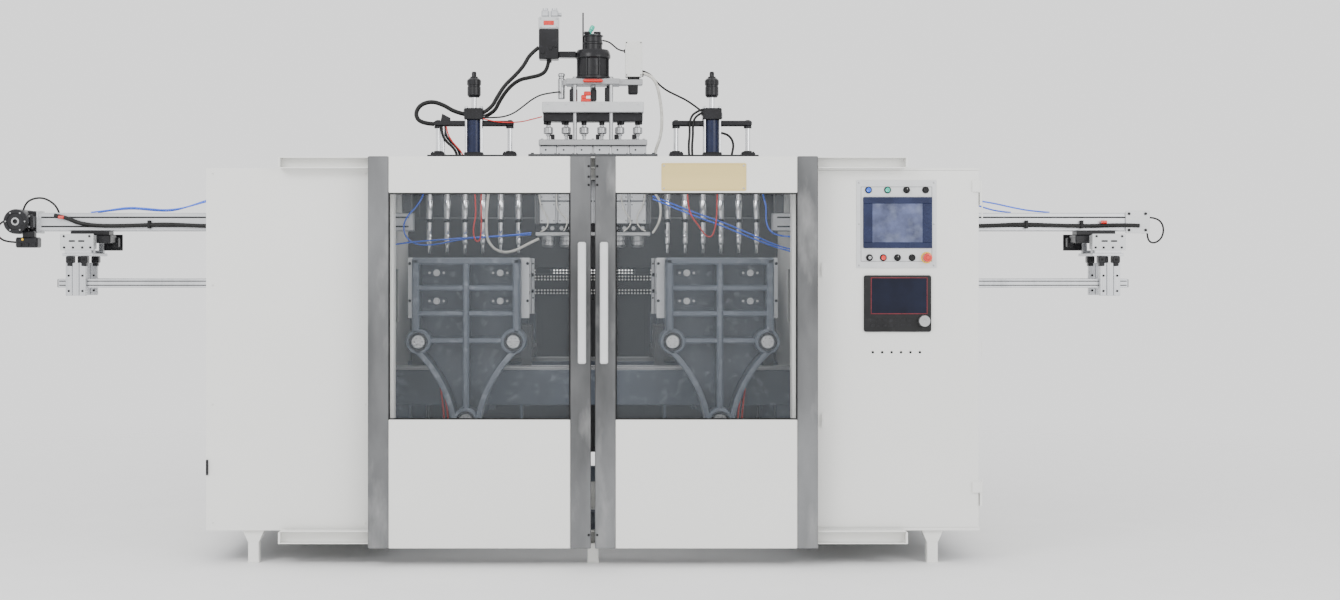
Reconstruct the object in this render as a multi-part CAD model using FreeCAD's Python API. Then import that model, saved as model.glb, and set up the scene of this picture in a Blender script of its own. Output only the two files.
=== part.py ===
import FreeCAD, Part
import math
import os
from FreeCAD import Vector

os.makedirs("parts", exist_ok=True)

# Six-cavity, two-station extrusion blow moulding machine.
# Millimetres. X runs along the machine, Y from the operator's side to the back, +Z up.
# The origin is the bottom centre of the middle front foot, on the floor.

# ---- driving dimensions -------------------------------------------------------------
station_x = 600.0               # each clamp's distance from the middle
clamp_room = 400.0              # from a clamp's middle to the cabinet beside it
cabinet_width = 750.0
opening_half_width = station_x + clamp_room             # inner faces of the side cabinets
machine_half_width = opening_half_width + cabinet_width    # their outer faces
cabinet_depth = 1900.0
cabinet_bottom = 150.0
cabinet_top = 1789.0
sheet = 3.0
pan_depth = 20.0

foot_size = 50.0
frame_tube = 95.0               # square tube of the floor frame and the columns
ring_height = 80.0
tube_wall = 6.0
frame_top = 1840.0
front_y = -(pan_depth + foot_size / 2)    # front face of the cabinets

plane_y = front_y + 930.0       # blow pins and mould parting line, when closed
pitch = 90.0
cavities = 6

door_bottom = 85.0
door_top = 1836.0
door_thickness = 40.0
door_half_gap = 9.0
door_reach = opening_half_width + 5
post_width = 92.0
door_top_panel = 163.0
door_bottom_panel = 575.0
window_thickness = 6.0
door_stand_off = 70.0           # cabinet front to the back of a door
rail_gap = 2.0
rail_depth = 48.0
rail_wall = 4.0
rail_half_length = door_reach + 400
handle_length = 542.0
handle_width = 36.0

mould_top = 1383.0
mould_height = 283.0
mould_depth = 160.0
mould_width = 560.0
back_plate_depth = 30.0
back_plate_width = 585.0
clamp_stroke = 200.0
platen_depth = 200.0
platen_width = 510.0
tie_radius = 32.0
tie_spacing = 448.0
tie_z = 989.0
boss_radius = 60.0
running = 0.05                  # radial clearance of a shaft in its bore
seat = 0.3                      # gap under a piece that slides or rolls on another

bed_top = 830.0
bed_height = 174.0
low_tie_gap = 6.0               # from the bed beams down to the lower tie bar
low_tie_z = bed_top - bed_height - low_tie_gap - tie_radius
bed_width = 100.0
slide_rail_height = 22.0
slide_rail_width = 40.0
front_bed_y = front_y + 760.0
rear_bed_y = front_y + 1560.0

deck_top = 1888.0
deck_height = 120.0
deck_width = 80.0
beam_z = 1567.0                 # take-out beam's axis
beam_size = 90.0
beam_reach = 2783.0
bar_z = 1260.0
bar_size = 45.0
bar_spread = 200.0

# feet and extruder stand
leg_x = machine_half_width - 210
stand_front_y = front_y + 2560.0
stand_back_y = front_y + 3160.0
stand_x = 345.0
stand_top = 1480.0

# rear cross beam and fence
guard_beam_front = front_y + 1580.0
guard_beam_back = front_y + 1700.0
rear_beam_bottom = 1331.0
rear_beam_top = 1609.0
screen_top = 1740.0             # dark plates that stand on the rear beam
screen_gap = 160.0              # from the middle to each plate, for the extruder barrel
fence_y = front_y + 2520.0
fence_top = 1300.0

# side cabinets
port_half_depth = 170.0
port_bottom = 1060.0
port_top = 1330.0
cabinet_door_bottom = 165.0
cabinet_door_top = 1778.0
hinge_x = machine_half_width + 4.0
hinge_y = front_y - 8.0

# sliding doors
door_back = front_y - door_stand_off
door_front = door_back - door_thickness
rail_front = door_back + rail_gap
roller_places = (55.0, 600.0)
rail_heights = ((1786.0, 1836.0), (99.0, 157.0))
handle_bottom = 911.0
handle_stand = 22.0

# operator panel, touch screen and parison controller
panel_x = opening_half_width + cabinet_width / 2 - 2.4
panel_z = 1535.7
panel_width = 362.0
panel_height = 398.0
upper_row_z = 1690.0
lower_row_z = 1384.0
# each control's name and its distance from the middle of the panel
upper_row = (("blue_button", -126.6), ("green_button", -40.6),
             ("mode_selector", 45.4), ("black_button", 131.4))
lower_row = (("key_selector", -122.6), ("lamp_button", -59.6), ("round_switch", 4.4),
             ("lower_black_button", 70.4), ("estop_button", 136.4))
control_radius = 11.0
collar_radius = 15.0
collar_height = 7.0
estop_collar = 25.0
touch_width = 312.0
touch_height = 231.0
touch_z = 1542.5
controller_width = 305.0
controller_height = 256.0
controller_x = panel_x + 4.4
controller_z = 1176.5
encoder_x = controller_x + 119
encoder_z = 1098.0
encoder_radius = 26.5
plate_front = front_y - sheet

# clamps
open_front_face = plane_y - clamp_stroke      # front mould's parting face, open
open_rear_face = plane_y + clamp_stroke
front_platen_y = open_front_face - mould_depth - back_plate_depth - platen_depth
rear_platen_y = open_rear_face + mould_depth + back_plate_depth
body_radius = 34.0
neck_radius = 15.0
yoke_y = front_y + 1700.0
yoke_depth = 100.0
yoke_top = 1100.0
ram_z = 1000.0
ram_radius = 45.0
cylinder_radius = 90.0
cylinder_length = 500.0
carriage_half = 245.0
carriage_beam = 50.0
bearing_height = 28.0

# blow units
column_spread = 181.0
blow_tube_radius = 40.0
blow_rod_radius = 14.0
cross_bar_z = 2050.0
blow_block_z = 2080.0
blow_block_height = 60.0
blow_travel = 50.0
pin_top = 1740.0

# die head
head_half = 290.0
block_bottom = deck_top + 12
block_top = 1949.0
lower_plate_z = 1949.0
bridge_z = 2115.0
bridge_thick = 53.0
upper_plate_z = 2256.0
mandrel_radius = 8.0
flow_gap = 2.0                  # round each mandrel inside the head
head_rod_radius = 10.0
cylinder_z = upper_plate_z + 30
valve_x = -222.0
valve_z = 2386.0

# take-out arms
carriage_x = 2568.0
bar_end = 1080.0
profile_width = 100.0

# extruder
screw_z = 1750.0
barrel_front = front_y + 1150.0
feed_block = 260.0

parts = {}


# ---- helpers ------------------------------------------------------------------------
def box(x0, x1, y0, y1, z0, z1):
    return Part.makeBox(x1 - x0, y1 - y0, z1 - z0, Vector(x0, y0, z0))


def block(x, y, z, wide, deep, high):
    """A box with its bottom face centred on x, y at height z."""
    return box(x - wide / 2, x + wide / 2, y - deep / 2, y + deep / 2, z, z + high)


def along_z(x, y, z, radius, length):
    return Part.makeCylinder(radius, length, Vector(x, y, z), Vector(0, 0, 1))


def along_y(x, y, z, radius, length):
    return Part.makeCylinder(radius, length, Vector(x, y, z), Vector(0, 1, 0))


def along_x(x, y, z, radius, length):
    return Part.makeCylinder(radius, length, Vector(x, y, z), Vector(1, 0, 0))


def fuse(shapes):
    return shapes[0].multiFuse(shapes[1:]).removeSplitter()


def cut(shape, tools):
    return shape.cut(Part.makeCompound(tools))


def tube(x0, x1, y0, y1, z0, z1, axis, wall=tube_wall):
    """A rectangular hollow section that is open at both ends."""
    low = [x0, y0, z0]
    high = [x1, y1, z1]
    for i in range(3):
        if "XYZ"[i] != axis:
            low[i] += wall
            high[i] -= wall
    bore = box(low[0], high[0], low[1], high[1], low[2], high[2])
    return box(x0, x1, y0, y1, z0, z1).cut(bore)


def pan(x0, x1, y0, y1, z0, z1):
    """A sheet panel with its four edges folded back, open at its rear."""
    inside = box(x0 + sheet, x1 - sheet, y0 + sheet, y1, z0 + sheet, z1 - sheet)
    return box(x0, x1, y0, y1, z0, z1).cut(inside)


def moved(shape, x=0.0, y=0.0, z=0.0):
    copy = shape.copy()
    copy.translate(Vector(x, y, z))
    return copy


def mirrored(shape):
    """The same piece on the other side of the machine's middle."""
    return shape.mirror(Vector(0, 0, 0), Vector(1, 0, 0))


def both_sides(shapes):
    return shapes + [mirrored(s) for s in shapes]


def turned(points):
    """A solid of revolution about Z from a radius and height outline."""
    face = Part.Face(Part.makePolygon([Vector(r, 0, z) for r, z in points + points[:1]]))
    return face.revolve(Vector(0, 0, 0), Vector(0, 0, 1), 360)


def keep(name, *shapes):
    """Collect one node, as one solid or a group of them."""
    parts[name] = shapes[0] if len(shapes) == 1 else Part.makeCompound(list(shapes))


def row_of_cavities():
    return [(i - (cavities - 1) / 2) * pitch for i in range(cavities)]


# ---- floor frame, bed and columns -----------------------------------------------------
def floor_frame():
    """Ring of tubes on its feet, with pedestals and two bed beams that carry the slide rails."""
    top = cabinet_bottom + ring_height
    ring_front = front_y + pan_depth
    ring_back = front_y + cabinet_depth - 2 * sheet
    long_x = machine_half_width - 10
    inner = opening_half_width - frame_tube
    pieces = [
        tube(-long_x, long_x, ring_front, ring_front + ring_height, cabinet_bottom, top, "X"),
        tube(-long_x, long_x, ring_back - ring_height, ring_back, cabinet_bottom, top, "X"),
    ]
    side = [
        tube(inner, opening_half_width, ring_front + ring_height, ring_back - ring_height,
             cabinet_bottom, top, "Y"),
        tube(long_x - frame_tube, long_x, ring_front + ring_height, ring_back - ring_height,
             cabinet_bottom, top, "Y"),
    ]
    for y in (front_bed_y, rear_bed_y):
        side.append(tube(inner, opening_half_width, y, y + bed_width, top, bed_top - bed_height, "Z"))
        pieces.append(tube(-opening_half_width, opening_half_width, y, y + bed_width,
                           bed_top - bed_height, bed_top, "X"))
        rail_y = y + bed_width / 2
        pieces.append(box(-opening_half_width + 20, opening_half_width - 20,
                          rail_y - slide_rail_width / 2, rail_y + slide_rail_width / 2,
                          bed_top, bed_top + slide_rail_height))
    return pieces + both_sides(side) + extruder_stand() + feet()


def leg(x, y, flared=True):
    """Square leg under the floor frame, with a flared head."""
    size = foot_size
    shapes = [block(x, y, 0, size, size, cabinet_bottom)]
    if flared:
        head = Part.makePolygon([
            Vector(x - size, y - size / 2, cabinet_bottom),
            Vector(x + size, y - size / 2, cabinet_bottom),
            Vector(x + size / 2, y - size / 2, cabinet_bottom - size),
            Vector(x - size / 2, y - size / 2, cabinet_bottom - size),
            Vector(x - size, y - size / 2, cabinet_bottom),
        ])
        shapes.append(Part.Face(head).extrude(Vector(0, size, 0)))
        return fuse(shapes)
    return shapes[0]


def feet():
    back = front_y + cabinet_depth - 2 * sheet - ring_height / 2
    legs = [leg(0, 0, flared=False), leg(0, back)]
    for x in (-leg_x, leg_x):
        legs.append(leg(x, 0))
        legs.append(leg(x, back))
    return legs


def extruder_stand():
    """Four posts on two floor rails behind the clamps, joined by a top plate."""
    top = cabinet_bottom + ring_height
    ring_back = front_y + cabinet_depth - 2 * sheet
    side = [tube(stand_x - frame_tube, stand_x, ring_back, stand_back_y, cabinet_bottom, top, "Y")]
    for y in (stand_front_y, stand_back_y - frame_tube):
        side.append(tube(stand_x - frame_tube, stand_x, y, y + frame_tube, top, stand_top, "Z"))
    middle = stand_x - frame_tube / 2
    side.append(leg(middle, stand_back_y - frame_tube / 2, flared=False))
    plate = box(-stand_x, stand_x, stand_front_y, stand_back_y, stand_top, stand_top + 20)
    return both_sides(side) + [plate]


def upper_frame():
    """Columns, top side beams, door header, the two deck beams and the rear cross beam."""
    inner = opening_half_width - frame_tube
    base = cabinet_bottom + ring_height
    beam_bottom = frame_top - 100
    rear_y = guard_beam_back
    header_front = front_y - rail_gap - rail_depth + 30
    back = rear_y + frame_tube
    column_front = front_y + pan_depth
    side = [
        tube(inner, opening_half_width, column_front, column_front + frame_tube,
             base, beam_bottom, "Z"),
        tube(inner, opening_half_width, rear_y, back, base, beam_bottom, "Z"),
        tube(inner, opening_half_width, column_front, back, beam_bottom, frame_top, "Y"),
        box(inner + 10, inner + 55, plane_y - 40, plane_y + 40,
            beam_z + beam_size / 2, beam_bottom),
        rounded_lug(opening_half_width - 60),
    ]
    pieces = [
        tube(-inner, inner, header_front, header_front + frame_tube, beam_bottom, frame_top, "X"),
        tube(-opening_half_width, opening_half_width, guard_beam_front, guard_beam_back,
             rear_beam_bottom, rear_beam_top, "X"),
    ]
    for y in (plane_y - 110 - deck_width, plane_y + 110):
        pieces.append(tube(-inner, inner, y, y + deck_width, deck_top - deck_height, deck_top, "X"))
    return pieces + both_sides(side)


def rounded_lug(x):
    """Lifting lug with a round top, on the rear cross beam."""
    y = guard_beam_front + 20
    plate = box(x, x + 45, y, y + 40, rear_beam_top, rear_beam_top + 60)
    cap = along_y(x + 22.5, y, rear_beam_top + 60, 22.5, 40)
    return fuse([plate, cap])


def guard_panel_y(x0, x1, y, z0, z1):
    """A framed guard panel that faces front and back."""
    frame = 30.0
    ring = box(x0, x1, y, y + frame, z0, z1).cut(
        box(x0 + frame, x1 - frame, y, y + frame, z0 + frame, z1 - frame))
    skin = box(x0 + frame, x1 - frame, y, y + sheet, z0 + frame, z1 - frame)
    return fuse([ring, skin])


def guard_panel_x(x, y0, y1, z0, z1):
    """A framed guard panel that faces sideways."""
    frame = 30.0
    ring = box(x, x + frame, y0, y1, z0, z1).cut(
        box(x, x + frame, y0 + frame, y1 - frame, z0 + frame, z1 - frame))
    skin = box(x + frame - sheet, x + frame, y0 + frame, y1 - frame, z0 + frame, z1 - frame)
    return fuse([ring, skin])


def rear_guard():
    """Fence round the clamp cylinders, on two corner feet, and the plates under and above the rear beam."""
    bottom = cabinet_bottom + ring_height + 10
    wall = front_y + cabinet_depth
    side = [
        guard_panel_x(opening_half_width - 30, wall, fence_y, bottom, fence_top),
        box(opening_half_width - 30, opening_half_width, fence_y, fence_y + 30, 0, fence_top),
    ]
    across = guard_panel_y(-opening_half_width + 30, opening_half_width - 30, fence_y, bottom, fence_top)
    under = box(-opening_half_width + 110, opening_half_width - 110, guard_beam_back - 10,
                guard_beam_back - 10 + sheet, rear_beam_bottom - 180, rear_beam_bottom)
    above = box(screen_gap, opening_half_width - 110, guard_beam_back - 10,
                guard_beam_back - 10 + sheet, rear_beam_top, screen_top)
    return both_sides(side + [above]) + [across, under]


# ---- side cabinets --------------------------------------------------------------------


def inner_wall_cuts():
    """Holes in the inner wall for the take-out beam and for the bars with the bottles."""
    room = beam_size / 2 + 5
    x0 = opening_half_width - 5
    x1 = opening_half_width + sheet + 5
    return [
        box(x0, x1, plane_y - room, plane_y + room, beam_z - room, beam_z + room),
        box(x0, x1, plane_y - port_half_depth, plane_y + port_half_depth, port_bottom, port_top),
    ]


def outer_wall_cut():
    """One tall port in the outer wall, which the take-out carriage can enter."""
    room = beam_size / 2 + 5
    return [box(machine_half_width - sheet - 5, machine_half_width + 5, plane_y - port_half_depth,
                plane_y + port_half_depth, port_bottom, beam_z + room)]


def cabinet_walls():
    """Outer wall, inner wall, roof and back of the right-hand cabinet."""
    wall_front = front_y + pan_depth + 2
    wall_back = front_y + cabinet_depth
    outer_x = machine_half_width - sheet
    ring_top = cabinet_bottom + ring_height
    outer = box(outer_x, machine_half_width, wall_front, wall_back, cabinet_bottom, cabinet_top)
    inner = box(opening_half_width, opening_half_width + sheet, wall_front, wall_back,
                ring_top, cabinet_top)
    roof = box(opening_half_width + sheet, outer_x, wall_front, wall_back,
               cabinet_top - sheet, cabinet_top)
    back = box(opening_half_width + sheet, outer_x, wall_back - sheet, wall_back,
               cabinet_bottom, cabinet_top - sheet)
    return [
        cut(outer, outer_wall_cut()),
        cut(inner, inner_wall_cuts()),
        roof,
        back,
    ]


def left_cabinet():
    front = pan(-machine_half_width, -opening_half_width, front_y, front_y + pan_depth,
                cabinet_bottom, cabinet_top)
    stiles = box(-machine_half_width, -opening_half_width, front_y + pan_depth,
                 front_y + pan_depth + 2, cabinet_top - 10, cabinet_top)
    return [mirrored(w) for w in cabinet_walls()] + [front, stiles]


def right_cabinet():
    """The walls, with strips above and below the door and the hinge barrels."""
    strips = [
        box(opening_half_width, machine_half_width, front_y, front_y + pan_depth + 2,
            cabinet_door_top + 1, cabinet_top),
        box(opening_half_width, machine_half_width, front_y, front_y + pan_depth,
            cabinet_bottom, cabinet_door_bottom - 1),
    ]
    hinges = [along_z(hinge_x, hinge_y, z, 6, 60) for z in (260.0, 1620.0)]
    plates = [box(machine_half_width, hinge_x, hinge_y + 5, front_y + 60, z, z + 60)
              for z in (260.0, 1620.0)]
    return cabinet_walls() + strips + [fuse([h, p]) for h, p in zip(hinges, plates)]


# ---- sliding doors ----------------------------------------------------------------------


def door_rail(z0, z1):
    """C-channel, open towards the door, with an end block at each end."""
    outer = box(-rail_half_length, rail_half_length, rail_front, rail_front + rail_depth, z0, z1)
    inner = box(-rail_half_length, rail_half_length, rail_front, rail_front + rail_depth - rail_wall,
                z0 + rail_wall, z1 - rail_wall)
    return outer.cut(inner)


def rail_blocks():
    """End plates that stand on the cabinets above and hang from the floor frame below."""
    back = front_y + pan_depth + 20
    x = rail_half_length
    top = box(x, x + 8, rail_front, back, cabinet_top, rail_heights[0][1])
    low = box(x, x + 8, rail_front, back, rail_heights[1][0], cabinet_bottom)
    tie = box(600, 640, rail_front + rail_depth, front_y + pan_depth,
              cabinet_bottom, rail_heights[1][1])
    return both_sides([top, low, tie])


def door_rollers():
    """Rollers with their axles, inside the upper and the lower channel."""
    found = []
    for z0, z1 in rail_heights:
        room = z1 - z0 - 2 * rail_wall
        radius = room / 2 - seat
        middle = (z0 + z1) / 2
        for x in roller_places:
            wheel = along_y(x, rail_front + 8, middle, radius, 22)
            axle = along_y(x, door_back, middle, 6, rail_gap + 10)
            found.append(fuse([wheel, axle]))
    return found


def door_frame():
    """Two posts, two panels and the rollers of the right-hand door."""
    inner_post = door_half_gap + post_width
    outer_post = door_reach - post_width
    z_low = door_bottom + door_bottom_panel
    z_high = door_top - door_top_panel
    posts = [
        tube(door_half_gap, inner_post, door_front, door_back, door_bottom, door_top, "Z", 2),
        tube(outer_post, door_reach, door_front, door_back, door_bottom, door_top, "Z", 2),
    ]
    panels = [
        tube(inner_post, outer_post, door_front, door_back, door_bottom, z_low, "X", 2),
        tube(inner_post, outer_post, door_front, door_back, z_high, door_top, "X", 2),
    ]
    return posts + panels + door_rollers()


def door_window():
    middle = (door_front + door_back) / 2
    return box(door_half_gap + post_width, door_reach - post_width,
               middle - window_thickness / 2, middle + window_thickness / 2,
               door_bottom + door_bottom_panel, door_top - door_top_panel)


def door_handle():
    """Flat upright bar on two stand-offs."""
    x = door_half_gap + 40
    front = door_front - handle_stand - 18
    bar = box(x - handle_width / 2, x + handle_width / 2, front, front + 18,
              handle_bottom, handle_bottom + handle_length)
    bar = bar.makeFillet(5, [e for e in bar.Edges if abs(e.Length - handle_length) < 1e-6])
    feet_z = (handle_bottom + 15, handle_bottom + handle_length - 45)
    stands = [box(x - 10, x + 10, front + 17, door_front, z, z + 30) for z in feet_z]
    return fuse([bar] + stands)


# ---- cabinet door and operator controls ---------------------------------------------------


def cabinet_door():
    """Folded door with a window cut behind the operator panel, and its hinge leaves."""
    left = opening_half_width + 12
    right = machine_half_width - 5
    door = pan(left, right, front_y, front_y + pan_depth, cabinet_door_bottom, cabinet_door_top)
    margin = 20
    window = box(panel_x - panel_width / 2 + margin, panel_x + panel_width / 2 - margin,
                 front_y - 1, front_y + sheet + 1,
                 panel_z - panel_height / 2 + margin, panel_z + panel_height / 2 - margin)
    hole = along_y(encoder_x, front_y - 1, encoder_z, 5 + running, sheet + 2)
    door = cut(door, [window, hole])
    leaves = []
    for z in (262.0 + 60, 1622.0 + 60):
        barrel = along_z(hinge_x, hinge_y, z, 6, 50)
        leaf = box(right - 30, hinge_x, hinge_y - 2, front_y, z, z + 50)
        leaves.append(fuse([barrel, leaf]))
    return [fuse([door] + leaves)]


def operator_panel():
    """Plate with clipped corners and a raised ring round each control."""
    plate = block(panel_x, plate_front + sheet / 2, panel_z - panel_height / 2,
                  panel_width, sheet, panel_height)
    edges = [e for e in plate.Edges if abs(e.Length - sheet) < 1e-6]
    plate = plate.makeChamfer(14, edges)
    shapes = [plate]
    holes = []
    for name, x, z in controls():
        radius = estop_collar if name == "estop_button" else collar_radius
        shapes.append(along_y(x, plate_front - collar_height, z, radius, collar_height))
        holes.append(along_y(x, plate_front - 20, z, control_radius + running, 40))
    return cut(fuse(shapes), holes)


def controls():
    rows = ((upper_row, upper_row_z), (lower_row, lower_row_z))
    return [(name, panel_x + x, z) for row, z in rows for name, x in row]


def push_button(x, z):
    front = plate_front - collar_height - 4
    return along_y(x, front, z, control_radius, 4 + collar_height + sheet + 14)


def selector(x, z):
    """Round switch with a grip bar across it."""
    grip = box(x - 4, x + 4, plate_front - collar_height - 14, plate_front - collar_height - 2,
               z - 10, z + 10)
    return fuse([push_button(x, z), grip])


def estop(x, z):
    """Mushroom head on its stem."""
    front = plate_front - collar_height - 31
    stem = along_y(x, front + 10, z, control_radius, 21 + collar_height + sheet + 14)
    head = along_y(x, front, z, 20, 20)
    rim = [e for e in head.Edges if abs(e.Vertexes[0].Y - front) < 1e-6 and len(e.Vertexes) == 1]
    return fuse([head.makeFillet(6, rim), stem])


def encoder_knob():
    panel_face = front_y - 10
    cap = along_y(encoder_x, panel_face - 21, encoder_z, encoder_radius, 20)
    shaft = along_y(encoder_x, panel_face - 2, encoder_z, 5, 30)
    return fuse([cap, shaft])


def touch_screen():
    return block(panel_x + 5, plate_front - 4.5, touch_z - touch_height / 2,
                 touch_width, 9, touch_height)


def parison_controller():
    case = block(controller_x, front_y - 5, controller_z - controller_height / 2,
                 controller_width, 10, controller_height)
    return case.cut(along_y(encoder_x, front_y - 11, encoder_z, 5 + running, 12))


# ---- clamps -------------------------------------------------------------------------------
def lower_arms_face(half, low_half, z_top, z_low, y):
    """Outline that narrows in two hollow curves from the tie bars to the low boss."""
    a = Vector(-half, y, z_top)
    b = Vector(half, y, z_top)
    c = Vector(low_half, y, z_low)
    d = Vector(-low_half, y, z_low)
    sag = 0.42
    right_mid = Vector(low_half + (half - low_half) * sag, y, z_low + (z_top - z_low) * 0.62)
    left_mid = Vector(-right_mid.x, y, right_mid.z)
    edges = [
        Part.makeLine(a, b),
        Part.Arc(b, right_mid, c).toShape(),
        Part.makeLine(c, d),
        Part.Arc(d, left_mid, a).toShape(),
    ]
    return Part.Face(Part.Wire(edges))


def platen_front_view(top, y, depth):
    """Rectangle above, hollow arms below, and three round bosses, all as one block."""
    half = platen_width / 2
    boss_x = tie_spacing / 2
    upper = box(-half, half, y, y + depth, tie_z, top)
    arms = lower_arms_face(boss_x + boss_radius * 0.6, boss_radius * 0.7, tie_z, low_tie_z, y)
    shapes = [upper, arms.extrude(Vector(0, depth, 0))]
    for x in (-boss_x, boss_x):
        shapes.append(along_y(x, y, tie_z, boss_radius, depth))
    shapes.append(along_y(0, y, low_tie_z, boss_radius, depth))
    return fuse(shapes)


def tie_places():
    half = tie_spacing / 2
    return ((-half, tie_z), (half, tie_z), (0.0, low_tie_z))


def tie_bores(y0, y1, clearance=running):
    return [along_y(x, y0 - 5, z, tie_radius + clearance, y1 - y0 + 10) for x, z in tie_places()]


def platen(y, open_side):
    """Ribbed casting. Its pockets open towards -Y when open_side is -1, or towards +Y."""
    top = mould_top + 3
    shape = platen_front_view(top, y, platen_depth)
    half = platen_width / 2
    rib = 33.0
    rim = 27.0
    floor_depth = 45.0
    y0 = y if open_side < 0 else y + floor_depth
    y1 = y0 + platen_depth - floor_depth
    rows = 3
    bottom = tie_z + boss_radius + 8
    row_height = (top - rim - bottom - (rows - 1) * rim) / rows
    pockets = []
    for i in range(rows):
        z = bottom + i * (row_height + rim)
        pockets.append(box(-half + rim, -rib / 2, y0, y1, z, z + row_height))
        pockets.append(box(rib / 2, half - rim, y0, y1, z, z + row_height))
    arms = lower_arms_face(tie_spacing / 2 - boss_radius, 14, tie_z - boss_radius * 0.3,
                           low_tie_z + boss_radius + 20, y0)
    pockets.append(arms.extrude(Vector(0, y1 - y0, 0)))
    return cut(shape, pockets + tie_bores(y, y + platen_depth))


def bottle():
    """The hollow that one bottle and its neck fill in a closed mould."""
    top = mould_top + 1
    floor = mould_top - mould_height + 25
    shoulder = mould_top - 80
    outline = [(0, floor), (body_radius, floor), (body_radius, shoulder),
               (neck_radius, shoulder + 32), (neck_radius, top), (0, top)]
    return turned(outline)


def mould_half(face_y, side):
    """Six half cavities in a block, on its back plate. side is -1 for the front half."""
    y0, y1 = (face_y - mould_depth, face_y) if side < 0 else (face_y, face_y + mould_depth)
    plate0, plate1 = (y0 - back_plate_depth, y0) if side < 0 else (y1, y1 + back_plate_depth)
    low = mould_top - mould_height
    shape = box(-mould_width / 2, mould_width / 2, y0, y1, low, mould_top)
    hollow = bottle()
    shape = cut(shape, [moved(hollow, x=x, y=face_y) for x in row_of_cavities()])
    plate = box(-back_plate_width / 2, back_plate_width / 2, plate0, plate1, low - 5, mould_top + 3)
    bolts = []
    for x in (-back_plate_width / 2 + 8, back_plate_width / 2 - 8):
        for z in (mould_top - 25, mould_top - 205):
            bolts.append(along_y(x, plate0 - 1, z, 5, back_plate_depth + 2))
    return fuse([shape, cut(plate, bolts)])


def tie_frame():
    """Three tie bars, the pull plate behind them and the clamp cylinder on it."""
    bars = []
    for x, z in tie_places():
        bars.append(along_y(x, front_platen_y, z, tie_radius, yoke_y - front_platen_y))
    half = tie_spacing / 2 + boss_radius
    upper = box(-half, half, yoke_y, yoke_y + yoke_depth, tie_z - boss_radius, yoke_top)
    arms = lower_arms_face(half, boss_radius, tie_z - boss_radius, low_tie_z - boss_radius, yoke_y)
    bore = along_y(0, yoke_y - 5, ram_z, ram_radius + running, yoke_depth + 10)
    yoke = fuse([upper, arms.extrude(Vector(0, yoke_depth, 0))]).cut(bore)
    start = yoke_y + yoke_depth
    case = along_y(0, start, ram_z, cylinder_radius, cylinder_length)
    collars = [along_y(0, start, ram_z, cylinder_radius + 15, 40),
               along_y(0, start + cylinder_length - 40, ram_z, cylinder_radius + 15, 40)]
    hollow = along_y(0, start - 5, ram_z, ram_radius + running, cylinder_length - 15)
    return bars + [yoke, fuse([case] + collars).cut(hollow)]


def rear_platen():
    """The rear casting with the ram that draws it forward."""
    back = rear_platen_y + platen_depth
    ram = along_y(0, back - 1, ram_z, ram_radius, yoke_y + yoke_depth + cylinder_length - 40 - back)
    lug = along_y(0, back - platen_depth + 45, ram_z, ram_radius + 25, platen_depth - 45)
    return fuse([platen(rear_platen_y, 1), lug, ram])


def carriage():
    """Two side beams on four bearing blocks, joined by two blocks that guide the tie bars."""
    rail_top = bed_top + slide_rail_height
    beam_low = rail_top + bearing_height
    beam_high = tie_z - boss_radius - 5
    y0 = front_bed_y + 5
    y1 = rear_bed_y + bed_width - 5
    half = carriage_half + carriage_beam
    pieces = []
    for x in (-half, carriage_half):
        pieces.append(box(x, x + carriage_beam, y0, y1, beam_low, beam_high))
        for y in (front_bed_y, rear_bed_y):
            middle = y + bed_width / 2
            pieces.append(box(x, x + carriage_beam, middle - 32, middle + 32,
                              rail_top + seat, beam_low))
    for y in (y0, plane_y + 70):
        cross = box(-half, half, y, y + 90, beam_high, tie_z + boss_radius)
        web = box(-carriage_half, carriage_half, y, y + 90, beam_low + 10, beam_high)
        pieces.append(cut(fuse([cross, web]), tie_bores(y, y + 90)))
    return pieces


def clamp(side_name, x):
    keep(side_name + "_carriage", *[moved(s, x=x) for s in carriage()])
    keep(side_name + "_front_platen", moved(platen(front_platen_y, -1), x=x))
    keep(side_name + "_tie_frame", *[moved(s, x=x) for s in tie_frame()])
    keep(side_name + "_front_mould", moved(mould_half(open_front_face, -1), x=x))
    keep(side_name + "_rear_platen", moved(rear_platen(), x=x))
    keep(side_name + "_rear_mould", moved(mould_half(open_rear_face, 1), x=x))


# ---- blow units ---------------------------------------------------------------------------


def blow_cylinder():
    """Base plate over the deck beams, two guide columns, cross bar, cylinder and its head."""
    top = blow_block_z
    base_z = deck_top
    shapes = [
        block(0, plane_y, base_z, 440, 2 * (110 + deck_width), 8),
        block(0, plane_y, cross_bar_z, 2 * column_spread + 40, 50, 28),
        along_z(0, plane_y, base_z, blow_tube_radius, top - base_z),
        block(0, plane_y, top, 95, 95, blow_block_height),
    ]
    for x in (-column_spread, column_spread):
        shapes.append(block(x, plane_y, base_z, 70, 90, 28))
        shapes.append(along_z(x, plane_y, base_z, 12.5, cross_bar_z - base_z + 5))
    for x in (-38, 38):
        for y in (-38, 38):
            shapes.append(along_z(x, plane_y + y, base_z, 6, top - base_z + blow_block_height + 12))
    bore = along_z(0, plane_y, base_z - 10, blow_rod_radius + running, 400)
    return fuse(shapes).cut(bore)


def blow_lift():
    """Piston rod with the stop head above and the pin bar below."""
    head_z = blow_block_z + blow_block_height + blow_travel + 6
    rod = along_z(0, plane_y, pin_top, blow_rod_radius, head_z - pin_top + 10)
    head = along_z(0, plane_y, head_z, 34, 98)
    rim = [e for e in head.Edges if len(e.Vertexes) == 1 and e.Vertexes[0].Z > head_z + 90]
    knob = along_z(0, plane_y, head_z + 90, 12, 40)
    bar = block(0, plane_y, pin_top, cavities * pitch - 10, 100, 24)
    return fuse([rod, head.makeChamfer(12, rim), knob, bar])


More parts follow.
